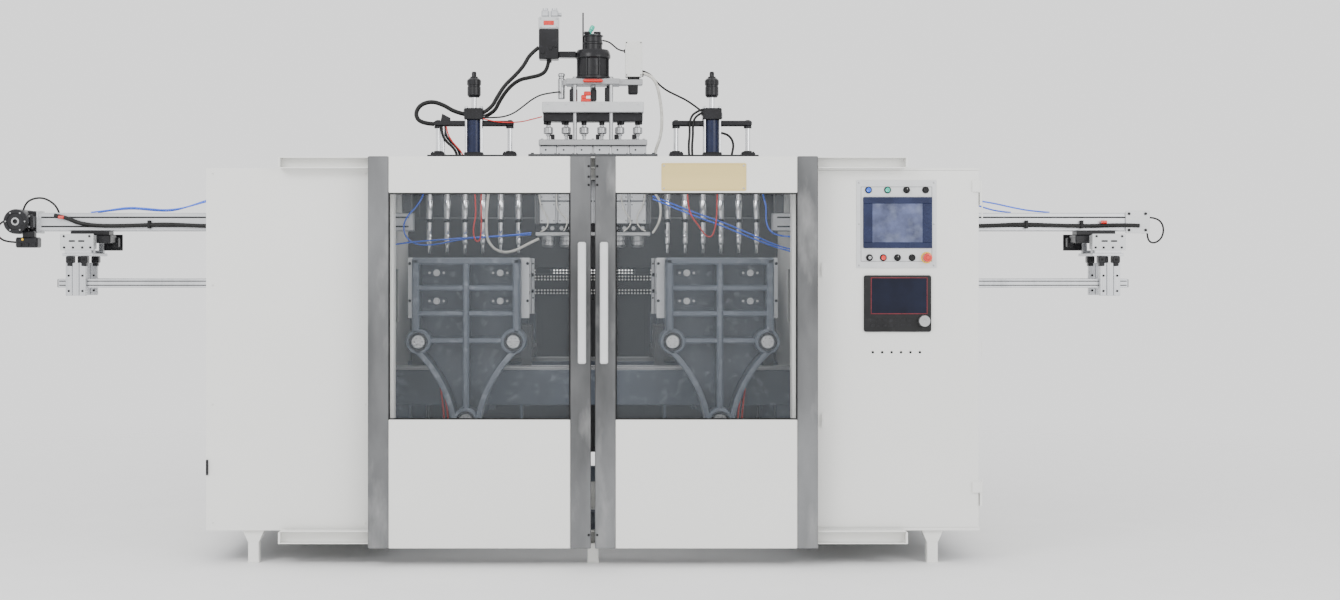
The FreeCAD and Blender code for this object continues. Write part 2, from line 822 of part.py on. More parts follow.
def blow_pin(x):
    """Stepped pin: body, ring, nozzle and tip."""
    outline = [(0, 1410.0), (6.5, 1410.0), (6.5, 1450.0), (11, 1456.0), (11, 1566.0), (17, 1566.0),
               (17, 1580.0), (15, 1580.0), (15, pin_top), (0, pin_top)]
    return moved(turned(outline), x=x, y=plane_y)


# ---- die head -----------------------------------------------------------------------------


def mandrel_holes(radius, z0, z1):
    return [along_z(x, plane_y, z0, radius, z1 - z0) for x in row_of_cavities()]


def die_head():
    """Head body under its flange, six dies below it and six guide blocks above."""
    shapes = [
        block(0, plane_y, 1552, 2 * head_half, 190, deck_top - 1552),
        block(0, plane_y, deck_top, 2 * head_half + 60, 2 * (110 + deck_width), 12),
    ]
    body = cut(fuse(shapes), mandrel_holes(mandrel_radius + flow_gap, 1500, 2000))
    band = block(0, plane_y, 1517, 2 * head_half - 10, 200, 35)
    strip = block(0, plane_y, 1496, 2 * head_half - 6, 190, 21)
    bores = mandrel_holes(mandrel_radius + flow_gap, 1480, 1600)
    band = cut(band, bores)
    strip = cut(strip, bores)
    pieces = [body, band, strip]
    die = turned([(14, 1440.0), (26, 1440.0), (33, 1452.0), (33, 1496.0), (14, 1496.0)])
    for x in row_of_cavities():
        pieces.append(moved(die, x=x, y=plane_y))
        guide = block(x, plane_y, block_bottom, pitch - 2, 120, block_top - block_bottom)
        pieces.append(guide.cut(along_z(x, plane_y, block_bottom - 5, mandrel_radius + running, 70)))
    return pieces


def head_rods():
    return [(x, plane_y + y) for x in (-91.0, 91.0) for y in (-50.0, 50.0)]


def head_columns():
    """Lower plate on the guide blocks, four rods, and the upper plate with the box's arm."""
    lower = block(0, plane_y, lower_plate_z, 544, 160, 30)
    lower = cut(lower, mandrel_holes(mandrel_radius + running, lower_plate_z - 5, lower_plate_z + 40))
    rods = [along_z(x, y, lower_plate_z + 25, head_rod_radius, upper_plate_z - lower_plate_z - 20)
            for x, y in head_rods()]
    upper = block(0, plane_y, upper_plate_z, 270, 140, 30)
    arm = box(130, 250, plane_y - 30, plane_y + 30, upper_plate_z, upper_plate_z + 30)
    left_arm = box(-160, -130, plane_y - 15, plane_y + 15, upper_plate_z, upper_plate_z + 30)
    post = along_z(-159, plane_y, bridge_z + bridge_thick + 20, 18, 130)
    bore = along_z(0, plane_y, upper_plate_z - 5, 14 + running, 40)
    return fuse([lower, upper, arm, left_arm, post] + rods).cut(bore)


def mandrel_bridge():
    """Thick plate that lifts six mandrels, drawn by the parison cylinder's rod."""
    plate = block(0, plane_y, bridge_z, 510, 160, bridge_thick)
    band = block(0, plane_y, bridge_z - 43, 500, 90, 43)
    holes = [along_z(x, y, bridge_z - 60, head_rod_radius + running, bridge_thick + 80)
             for x, y in head_rods()]
    rods = []
    for x in row_of_cavities():
        rods.append(along_z(x, plane_y, 1442, mandrel_radius, bridge_z - 20 - 1442))
        rods.append(along_z(x, plane_y, 2012, 22.5, 33))
    drive = along_z(0, plane_y, bridge_z + bridge_thick - 5, 14, 160)
    return fuse([cut(fuse([plate, band]), holes), drive] + rods)


def parison_cylinder():
    """Servo cylinder with its flange, cap and position sensor rod."""
    shapes = [
        along_z(0, plane_y, cylinder_z, 79, 102),
        block(0, plane_y, cylinder_z + 102, 178, 140, 46),
        along_z(0, plane_y, cylinder_z + 148, 47, 79),
        block(-44, plane_y, cylinder_z + 148, 20, 20, 40),
        along_z(-50, plane_y, cylinder_z + 148, 4, 190),
    ]
    bore = along_z(0, plane_y, cylinder_z - 5, 14 + running, 80)
    return fuse(shapes).cut(bore)


def servo_valve():
    """Valve body, cover and connector caps, carried by an arm from the cylinder's flange."""
    arm = box(valve_x + 50, -89, plane_y - 30, plane_y + 30, valve_z + 10, valve_z + 40)
    body = block(valve_x, plane_y, valve_z, 100, 90, 151)
    cover = block(valve_x, plane_y, valve_z + 151, 101, 90, 60)
    caps = [block(valve_x + x, plane_y, valve_z + 211, 40, 60, 52) for x in (-18, 28)]
    return fuse([body, cover, arm] + caps)


def junction_box():
    """Box with a lid, on a spacer block."""
    x = 205.0
    z = upper_plate_z + 30
    case = block(x, plane_y, z + 12, 84, 80, 178)
    spacer = block(x, plane_y, z, 60, 50, 12)
    return fuse([case, spacer])


# ---- take-out arms ------------------------------------------------------------------------


def takeout_beam():
    """Hollow beam of the right-hand take-out, with its end plate."""
    half = beam_size / 2
    inner = opening_half_width - frame_tube
    beam = tube(inner, beam_reach, plane_y - half, plane_y + half, beam_z - half, beam_z + half, "X")
    plate = block(beam_reach + 5, plane_y, beam_z - half - 12, 10, beam_size + 20, beam_size + 24)
    return [beam, plate]


def belt_motor():
    """Round drive head on a gear case, with its small terminal box, at the left beam's end."""
    x = -(beam_reach + 10)
    case = box(x - 70, x, plane_y - 60, plane_y + 60, beam_z - 55, beam_z + 55)
    drum = along_y(x - 75, plane_y - 150, beam_z, 62, 230)
    terminal = box(x - 80, x + 30, plane_y - 130, plane_y - 62, beam_z - 130, beam_z - 78)
    neck = box(x - 60, x - 30, plane_y - 110, plane_y - 80, beam_z - 90, beam_z - 40)
    return fuse([case, drum, terminal, neck])


def takeout_carriage():
    """Carriage of the right-hand take-out, which hangs under the beam."""
    top = beam_z - beam_size / 2 - seat
    x = carriage_x
    low = 1395.0
    shapes = [
        box(x - 165, x + 83, plane_y - 60, plane_y + 60, top - 60, top),
        box(x - 83, x + 83, plane_y - 130, plane_y - 118, 1424, 1506),
        box(x - 83, x + 83, plane_y - 120, plane_y - 55, 1440, 1490),
        box(x - 165, x - 43, plane_y + 108, plane_y + 120, 1430, 1506),
        box(x - 165, x - 43, plane_y + 55, plane_y + 110, 1440, 1490),
        box(x - 165, x + 83, plane_y - 130, plane_y + 130, low, low + 15),
        box(x - 83, x + 83, plane_y - 60, plane_y + 60, low + 10, top - 55),
    ]
    return fuse(shapes)


def takeout_arms():
    """Two upright profiles, each with its clamp and a long horizontal bar."""
    x = carriage_x
    low = bar_z - 62
    top = 1395.0
    solids = []
    for y in (plane_y - bar_spread / 2, plane_y + bar_spread / 2):
        face = y - bar_size / 2
        solids.append(box(x - 60, x + 48, face - 26, y + 20, top - 34, top))
        solids.append(box(x - profile_width / 2, x + profile_width / 2, face - 25, face,
                          low, top - 34))
        solids.append(tube(bar_end, x + profile_width / 2 + bar_size, face, face + bar_size,
                           bar_z - bar_size / 2, bar_z + bar_size / 2, "X", 4))
    return solids


# ---- extruder -----------------------------------------------------------------------------


def extruder_barrel():
    """Adapter, insulated barrel and the feed block that stands on the extruder frame."""
    shapes = [
        along_y(0, plane_y + 95, screw_z - 35, 45, barrel_front - plane_y - 90),
        along_y(0, barrel_front, screw_z, 130, stand_front_y - barrel_front + 5),
        box(-110, 110, stand_front_y, stand_front_y + feed_block, stand_top + 20, screw_z + 110),
    ]
    middle = stand_front_y + feed_block / 2
    throat = box(-45, 45, middle - 45, middle + 45, screw_z, screw_z + 120)
    return fuse(shapes).cut(throat)


def hopper():
    """Four sloping walls over the feed throat."""
    low = 60.0
    high = feed_block / 2 - 5
    z0 = screw_z + 110
    z1 = 2060.0
    y = stand_front_y + feed_block / 2

    def frustum(a, b, base, top):
        lower = Part.makePolygon([Vector(sx * a, y + sy * a, base)
                                  for sx, sy in ((-1, -1), (1, -1), (1, 1), (-1, 1), (-1, -1))])
        upper = Part.makePolygon([Vector(sx * b, y + sy * b, top)
                                  for sx, sy in ((-1, -1), (1, -1), (1, 1), (-1, 1), (-1, -1))])
        return Part.makeLoft([lower, upper], True, True)

    return frustum(low, high, z0, z1).cut(frustum(low - 4, high - 4, z0, z1))


def extruder_drive():
    """Gear case behind the feed block, and its motor."""
    y = stand_front_y + feed_block
    gears = box(-200, 200, y, stand_back_y - 60, stand_top + 20, 1980)
    motor = along_y(0, stand_back_y - 65, 1680, 140, 330)
    fan = along_y(0, stand_back_y + 250, 1680, 125, 60)
    return fuse([gears, motor, fan])


# ---- free hoses ---------------------------------------------------------------------------
def rounded_path(points):
    """Straight runs joined by tangent arcs, each as large as its two runs allow."""
    edges = []
    radii = []
    start = points[0]
    for i in range(1, len(points) - 1):
        corner = points[i]
        back = points[i - 1] - corner
        ahead = points[i + 1] - corner
        reach = 0.45 * min(back.Length, ahead.Length)
        back.normalize()
        ahead.normalize()
        turn = math.pi - back.getAngle(ahead)
        radius = reach / math.tan(turn / 2)
        inward = back + ahead
        inward.normalize()
        crown = corner + inward * (math.hypot(reach, radius) - radius)
        arc_start = corner + back * reach
        arc_end = corner + ahead * reach
        edges.append(Part.LineSegment(start, arc_start).toShape())
        edges.append(Part.Arc(arc_start, crown, arc_end).toShape())
        radii.append(radius)
        start = arc_end
    edges.append(Part.LineSegment(start, points[-1]).toShape())
    return Part.Wire(edges), radii


def hose(name, radius, y, route):
    """A round solid along a hose's route, which lies in one upright plane at depth y."""
    points = [Vector(x, y, z) for x, z in route]
    path, radii = rounded_path(points)
    section = Part.Wire(Part.makeCircle(radius, points[0], points[1] - points[0]))
    solid = path.makePipeShell([section], True, True)
    filled = solid.Volume / (math.pi * radius ** 2 * path.Length)
    print(f"{name}: length {path.Length:.0f}, tightest radius {min(radii):.0f},"
          f" volume over section times length {filled:.4f}")
    return solid


# Each hose is fixed at both ends: its name, radius, distance behind the mould plane, and route.
hose_routes = (
    ("left_loop_hose", 11.0, 0.0, ((-647.5, 2112), (-700, 2124), (-752, 2158), (-815, 2178),
                                  (-875, 2158), (-898, 2108), (-868, 2066), (-801, 2062))),
    ("valve_hose", 10.0, -24.0, ((-552.5, 2118), (-512, 2140), (-482, 2196), (-444, 2256),
                                (-392, 2304), (-346, 2356), (-318, 2412), (-272, 2446))),
    ("braided_hose", 10.0, 24.0, ((-552.5, 2100), (-500, 2122), (-472, 2182), (-430, 2244),
                                 (-376, 2288), (-318, 2300), (-262, 2312), (-230, 2342),
                                 (-224, 2386))),
    ("sensor_cable", 4.0, -30.0, ((-552.5, 2092), (-502, 2092), (-448, 2096), (-398, 2114),
                                  (-352, 2148), (-302, 2188), (-246, 2214), (-164, 2222))),
    ("box_cable", 5.0, 0.0, ((247, 2330), (284, 2320), (318, 2276), (366, 2234), (424, 2206),
                             (486, 2176), (552.5, 2124))),
    ("heater_loom", 8.0, -20.0, ((247, 2316), (290, 2308), (322, 2262), (336, 2196), (346, 2126),
                                 (348, 2054), (338, 1986), (318, 1938), (310, 1900))),
    ("cap_cable", 4.0, 0.0, ((47, 2484), (78, 2480), (106, 2456), (132, 2434), (163, 2430))),
    ("right_inner_hose", 6.0, -34.0, ((500, 1896), (497, 1946), (503, 2000), (502, 2056),
                                      (514, 2100), (552.5, 2118))),
    ("right_outer_hose", 6.0, -34.0, ((484, 1896), (480, 1950), (487, 2008), (485, 2072),
                                      (506, 2118), (552.5, 2133))),
    ("left_front_hose", 7.0, -12.0, ((-764, 2050), (-762, 2012), (-742, 1976), (-712, 1950),
                                     (-690, 1924), (-684, 1896))),
    ("left_back_hose", 7.0, 12.0, ((-750, 2050), (-748, 2014), (-728, 1982), (-698, 1956),
                                   (-676, 1928), (-670, 1896))),
    ("right_short_hose", 6.0, 0.0, ((640, 2018), (672, 2014), (700, 1990), (710, 1956),
                                    (704, 1922), (698, 1896))),
    ("right_beam_loop", 4.5, -30.0, ((2793, 1590), (2832, 1588), (2864, 1562), (2872, 1520),
                                     (2856, 1478), (2818, 1458), (2790, 1476), (2788, 1510))),
    ("motor_loop", 5.0, -100.0, ((-2929, 1575), (-2962, 1560), (-2976, 1522), (-2962, 1484),
                                 (-2922, 1466), (-2873, 1464))),
    ("drive_cable", 5.0, -20.0, ((-2868, 1629), (-2858, 1662), (-2820, 1686), (-2768, 1690),
                                 (-2722, 1666), (-2696, 1636), (-2688, 1612))),
    ("left_air_line", 4.0, -14.0, ((-2530, 1616), (-2440, 1626), (-2345, 1642), (-2250, 1636),
                                   (-2155, 1626), (-2060, 1638), (-1960, 1668), (-1855, 1690),
                                   (-1750, 1694))),
    ("left_air_line_2", 4.0, 6.0, ((-2500, 1616), (-2410, 1630), (-2315, 1636), (-2220, 1626),
                                   (-2130, 1622), (-2040, 1646), (-1945, 1680), (-1850, 1704),
                                   (-1750, 1708))),
    ("right_air_line", 4.0, -14.0, ((2300, 1616), (2210, 1622), (2115, 1640), (2020, 1662),
                                    (1930, 1676), (1840, 1688), (1750, 1694))),
    ("right_air_line_2", 4.0, 6.0, ((2110, 1616), (2040, 1622), (1970, 1642), (1900, 1668),
                                    (1826, 1696), (1750, 1706))),
)


if __name__ == "__main__":
    keep("base_frame", *floor_frame())
    keep("upper_frame", *upper_frame())
    keep("rear_guard", *rear_guard())
    keep("left_cabinet", *left_cabinet())
    keep("right_cabinet", *right_cabinet())
    keep("door_rails", *[door_rail(z0, z1) for z0, z1 in rail_heights], *rail_blocks())

    keep("right_door_frame", *door_frame())
    keep("right_door_window", door_window())
    keep("right_door_handle", door_handle())
    keep("left_door_frame", *[mirrored(s) for s in door_frame()])
    keep("left_door_window", mirrored(door_window()))
    keep("left_door_handle", mirrored(door_handle()))

    keep("cabinet_door", *cabinet_door())
    keep("operator_panel", operator_panel())
    keep("touch_screen", touch_screen())
    keep("parison_controller", parison_controller())
    keep("encoder_knob", encoder_knob())
    makers = {"mode_selector": selector, "key_selector": selector, "round_switch": selector,
              "estop_button": estop}
    for control, x, z in controls():
        keep(control, makers.get(control, push_button)(x, z))

    clamp("left", -station_x)
    clamp("right", station_x)

    for side_name, x in (("left", -station_x), ("right", station_x)):
        keep(side_name + "_blow_cylinder", moved(blow_cylinder(), x=x))
        keep(side_name + "_blow_lift", moved(blow_lift(), x=x))
        keep(side_name + "_blow_pins", *[blow_pin(x + dx) for dx in row_of_cavities()])

    keep("die_head", *die_head())
    keep("head_columns", head_columns())
    keep("mandrel_bridge", mandrel_bridge())
    keep("parison_cylinder", parison_cylinder())
    keep("servo_valve", servo_valve())
    keep("junction_box", junction_box())

    keep("right_takeout_beam", *takeout_beam())
    keep("left_takeout_beam", *[mirrored(s) for s in takeout_beam()])
    keep("belt_motor", belt_motor())
    keep("right_takeout_carriage", takeout_carriage())
    keep("left_takeout_carriage", mirrored(takeout_carriage()))
    keep("right_takeout_arms", *takeout_arms())
    keep("left_takeout_arms", *[mirrored(s) for s in takeout_arms()])

    keep("extruder_barrel", extruder_barrel(), hopper())
    keep("extruder_drive", extruder_drive())

    keep("hoses", *[hose(name, radius, plane_y + behind, route)
                    for name, radius, behind, route in hose_routes])

    for node, shape in parts.items():
        if not shape.isValid():
            print("not valid:", node)
        shape.exportStep("parts/" + node + ".step")
    print(len(parts), "nodes")
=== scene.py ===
import math
from itertools import product

import bmesh
import bpy
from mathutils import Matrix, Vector


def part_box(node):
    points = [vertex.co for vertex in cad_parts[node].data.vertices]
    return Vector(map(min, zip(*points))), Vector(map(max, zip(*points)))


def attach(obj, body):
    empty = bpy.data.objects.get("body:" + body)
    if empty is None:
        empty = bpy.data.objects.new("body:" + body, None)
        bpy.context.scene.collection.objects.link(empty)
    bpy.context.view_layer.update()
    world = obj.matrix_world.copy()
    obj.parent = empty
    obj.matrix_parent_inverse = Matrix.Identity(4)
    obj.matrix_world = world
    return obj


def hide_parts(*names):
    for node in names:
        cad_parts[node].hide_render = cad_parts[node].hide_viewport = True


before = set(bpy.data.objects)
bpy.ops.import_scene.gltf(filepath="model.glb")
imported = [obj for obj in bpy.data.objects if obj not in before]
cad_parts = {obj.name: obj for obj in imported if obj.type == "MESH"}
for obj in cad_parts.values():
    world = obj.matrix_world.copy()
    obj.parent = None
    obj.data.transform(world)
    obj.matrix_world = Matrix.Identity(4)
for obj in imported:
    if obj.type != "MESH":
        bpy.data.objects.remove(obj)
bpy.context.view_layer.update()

# ---- places taken from the frame, or repeated from the CAD source, in metres ----
MIDDLE_Y = (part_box("die_head")[0].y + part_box("die_head")[1].y) / 2     # blow pins and closed moulds
CABINET_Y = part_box("touch_screen")[1].y + 0.003                        # cabinet fronts
PLATE_Y = CABINET_Y - 0.003                                            # operator panel's face
DOOR_LOW, DOOR_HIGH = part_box("right_door_frame")
DOOR_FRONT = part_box("right_door_handle")[1].y
DOOR_BACK = DOOR_FRONT + 0.040
WINDOW_LOW, WINDOW_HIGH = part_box("right_door_window")
DECK_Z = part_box("left_blow_cylinder")[0].z
HEADER_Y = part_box("upper_frame")[0].y
STATION_X = 0.600
PITCH = 0.090
TIE_Z, LOW_TIE_Z = 0.989, 0.618
TIE_PLACES = ((-0.224, TIE_Z), (0.224, TIE_Z), (0.0, LOW_TIE_Z))
GUIDE_PLACES = (-0.181, 0.181)
COLUMN_INNER, TUBE_SIZE = 0.905, 0.095
RING_LOW, RING_TOP = 0.150, 0.230
STAND_FRONT, STAND_BACK, STAND_TOP = 2.515, 3.115, 1.500
HOPPER_Y = 2.645
CAMERA_DISTANCE, CAMERA_HEIGHT = 8.05, 1.35
X, Y, Z = Vector((1, 0, 0)), Vector((0, 1, 0)), Vector((0, 0, 1))
PIN_OFFSETS = [(i - 2.5) * PITCH for i in range(6)]


# ---- materials ----
def shade(colour, factor):
    return tuple(min(1.0, c * factor) for c in colour) + (1.0,)


def set_inputs(node, **values):
    """Set a node's sockets, named with _ for each space."""
    for socket, value in values.items():
        node.inputs[socket.replace("_", " ")].default_value = value


def material(name, colour, rough=0.5, metal=0.0, vary=0.05, grain=5.0, bump=0.05, bump_grain=350.0,
             stretch=(1, 1, 1), worn=None, worn_share=0.0, worn_grain=30.0, coat=0.0, alpha=1.0,
             gloss=0.5):
    """Base colour with soft cloudy variation, worn patches, uneven roughness and a fine bump."""
    m = bpy.data.materials.new(name)
    m.use_nodes = True
    nodes, links = m.node_tree.nodes, m.node_tree.links
    shader = nodes["Principled BSDF"]
    set_inputs(shader, Metallic=metal, Coat_Weight=coat, Alpha=alpha, Specular_IOR_Level=gloss)
    where = nodes.new("ShaderNodeTexCoord")
    scale = nodes.new("ShaderNodeMapping")
    scale.inputs["Scale"].default_value = stretch
    links.new(where.outputs["Object"], scale.inputs["Vector"])

    def noise(size, detail):
        n = nodes.new("ShaderNodeTexNoise")
        set_inputs(n, Scale=size, Detail=detail)
        links.new(scale.outputs["Vector"], n.inputs["Vector"])
        return n.outputs["Fac"]

    cloud = noise(grain, 5.0)
    tint = nodes.new("ShaderNodeValToRGB")
    tint.color_ramp.elements[0].position = 0.32
    tint.color_ramp.elements[0].color = shade(colour, 1 - vary)
    tint.color_ramp.elements[1].position = 0.68
    tint.color_ramp.elements[1].color = shade(colour, 1 + vary)
    links.new(cloud, tint.inputs["Fac"])
    colour_out = tint.outputs["Color"]
    if worn:
        mask = nodes.new("ShaderNodeValToRGB")
        mask.color_ramp.elements[0].position = 1 - worn_share - 0.10
        mask.color_ramp.elements[1].position = 1 - worn_share + 0.12
        mask.color_ramp.elements[1].color = (0.5, 0.5, 0.5, 1)
        links.new(noise(worn_grain, 8.0), mask.inputs["Fac"])
        mix = nodes.new("ShaderNodeMixRGB")
        mix.inputs["Color2"].default_value = tuple(worn) + (1.0,)
        links.new(mask.outputs["Color"], mix.inputs["Fac"])
        links.new(colour_out, mix.inputs["Color1"])
        colour_out = mix.outputs["Color"]
    links.new(colour_out, shader.inputs["Base Color"])
    uneven = nodes.new("ShaderNodeMapRange")
    set_inputs(uneven, To_Min=max(0.03, rough - 0.12), To_Max=min(1.0, rough + 0.12))
    links.new(cloud, uneven.inputs["Value"])
    links.new(uneven.outputs["Result"], shader.inputs["Roughness"])
    relief = nodes.new("ShaderNodeBump")
    set_inputs(relief, Strength=bump, Distance=0.001)
    links.new(noise(bump_grain, 3.0), relief.inputs["Height"])
    links.new(relief.outputs["Normal"], shader.inputs["Normal"])
    return m


BRUSH_UP = (1, 1, 0.06)
BRUSH_ALONG = (0.06, 1, 1)
# colour, roughness, metal, variation and its grain, bump and its grain, and the rest by name
FINISHES = {
    "white_panel": ((0.80, 0.80, 0.775), 0.38, 0.0, 0.015, 1.6, 0.06, 420,
        dict(worn=(0.70, 0.69, 0.66), worn_share=0.22)),
    "stainless": ((0.165, 0.168, 0.172), 0.36, 0.9, 0.48, 3.2, 0.12, 500,
        dict(stretch=(1, 1, 0.35), worn=(0.46, 0.46, 0.46), worn_share=0.34, worn_grain=9.0)),
    "casting": ((0.082, 0.098, 0.125), 0.42, 0.0, 0.12, 7.0, 0.5, 90,
        dict(worn=(0.30, 0.32, 0.36), worn_share=0.36, worn_grain=26)),
    "frame_grey": ((0.060, 0.062, 0.066), 0.55, 0.0, 0.12, 4.0, 0.15, 260,
        dict(worn=(0.14, 0.14, 0.15), worn_share=0.30)),
    "aluminium": ((0.60, 0.61, 0.63), 0.36, 0.75, 0.07, 9.0, 0.08, 700,
        dict(stretch=BRUSH_ALONG, worn=(0.42, 0.43, 0.45), worn_share=0.34, worn_grain=40)),
    "profile": ((0.60, 0.61, 0.63), 0.36, 0.75, 0.07, 9.0, 0.08, 700,
        dict(stretch=BRUSH_UP, worn=(0.42, 0.43, 0.45), worn_share=0.34, worn_grain=40)),
    "light_handle": ((0.66, 0.67, 0.68), 0.34, 0.2, 0.04, 12.0, 0.05, 350,
        dict(worn=(0.45, 0.45, 0.45), worn_share=0.28)),
    "machined_steel": ((0.44, 0.445, 0.455), 0.30, 0.85, 0.10, 14.0, 0.10, 900,
        dict(stretch=BRUSH_ALONG, worn=(0.30, 0.29, 0.28), worn_share=0.32, worn_grain=50)),
    "chrome": ((0.74, 0.75, 0.77), 0.14, 1.0, 0.05, 20.0, 0.03, 900,
        dict(worn=(0.45, 0.44, 0.43), worn_share=0.30, worn_grain=70)),
    "black_metal": ((0.012, 0.012, 0.014), 0.30, 0.0, 0.25, 10.0, 0.08, 350,
        dict(worn=(0.06, 0.06, 0.07), worn_share=0.29, gloss=0.30)),
    "black_plastic": ((0.014, 0.014, 0.015), 0.48, 0.0, 0.2, 14.0, 0.25, 800,
        dict(worn=(0.04, 0.04, 0.04), worn_share=0.28, gloss=0.22)),
    "window": ((0.30, 0.33, 0.36), 0.12, 0.0, 0.05, 2.0, 0.01, 6.0, dict(alpha=0.06)),
    "light_grey": ((0.62, 0.63, 0.64), 0.36, 0.25, 0.05, 6.0, 0.06, 600,
        dict(worn=(0.50, 0.50, 0.51), worn_share=0.30)),
    "navy_plastic": ((0.016, 0.022, 0.060), 0.26, 0.0, 0.2, 12.0, 0.10, 900,
        dict(worn=(0.03, 0.04, 0.09), worn_share=0.30, gloss=0.25)),
    "blue_plastic": ((0.02, 0.12, 0.70), 0.22, 0.0, 0.12, 60.0, 0.04, 350, dict(coat=0.4)),
    "green_plastic": ((0.02, 0.50, 0.36), 0.22, 0.0, 0.12, 60.0, 0.04, 350, dict(coat=0.4)),
    "red_plastic": ((0.70, 0.025, 0.015), 0.28, 0.0, 0.12, 40.0, 0.04, 350, dict(coat=0.4)),
    "yellow_plastic": ((0.85, 0.50, 0.01), 0.35, 0.0, 0.08, 40.0, 0.05, 350, {}),
    "hose_rubber": ((0.012, 0.012, 0.012), 0.46, 0.0, 0.25, 25.0, 0.35, 260,
        dict(worn=(0.04, 0.04, 0.04), worn_share=0.30, gloss=0.25)),
    "blue_tube": ((0.02, 0.11, 0.72), 0.25, 0.0, 0.15, 20.0, 0.04, 350, dict(coat=0.3)),
    "red_tube": ((0.62, 0.02, 0.015), 0.30, 0.0, 0.15, 20.0, 0.04, 350, {}),
    "orange_tube": ((0.85, 0.30, 0.01), 0.30, 0.0, 0.15, 20.0, 0.04, 350, {}),
    "glass_fibre": ((0.60, 0.59, 0.55), 0.75, 0.0, 0.18, 60.0, 0.8, 500,
        dict(worn=(0.34, 0.32, 0.28), worn_share=0.33)),
    "motor_grey": ((0.090, 0.130, 0.200), 0.40, 0.0, 0.12, 7.0, 0.3, 160,
        dict(worn=(0.25, 0.28, 0.33), worn_share=0.31)),
    "insulation": ((0.62, 0.62, 0.61), 0.33, 0.8, 0.10, 9.0, 0.35, 40,
        dict(worn=(0.40, 0.37, 0.32), worn_share=0.33)),
    "brass_plate": ((0.74, 0.58, 0.25), 0.34, 0.35, 0.05, 9.0, 0.05, 700,
        dict(stretch=BRUSH_ALONG, worn=(0.66, 0.52, 0.24), worn_share=0.30)),
    "film": ((0.070, 0.085, 0.17), 0.20, 0.0, 0.45, 14.0, 0.9, 22,
        dict(worn=(0.18, 0.21, 0.31), worn_share=0.40, worn_grain=16)),
    "display": ((0.006, 0.008, 0.020), 0.16, 0.0, 0.3, 8.0, 0.02, 350, dict(gloss=0.22)),
    "dark_red": ((0.14, 0.006, 0.014), 0.3, 0.0, 0.2, 30.0, 0.05, 350, {}),
}
M = {name: material(name, *row[:-1], **row[-1]) for name, row in FINISHES.items()}


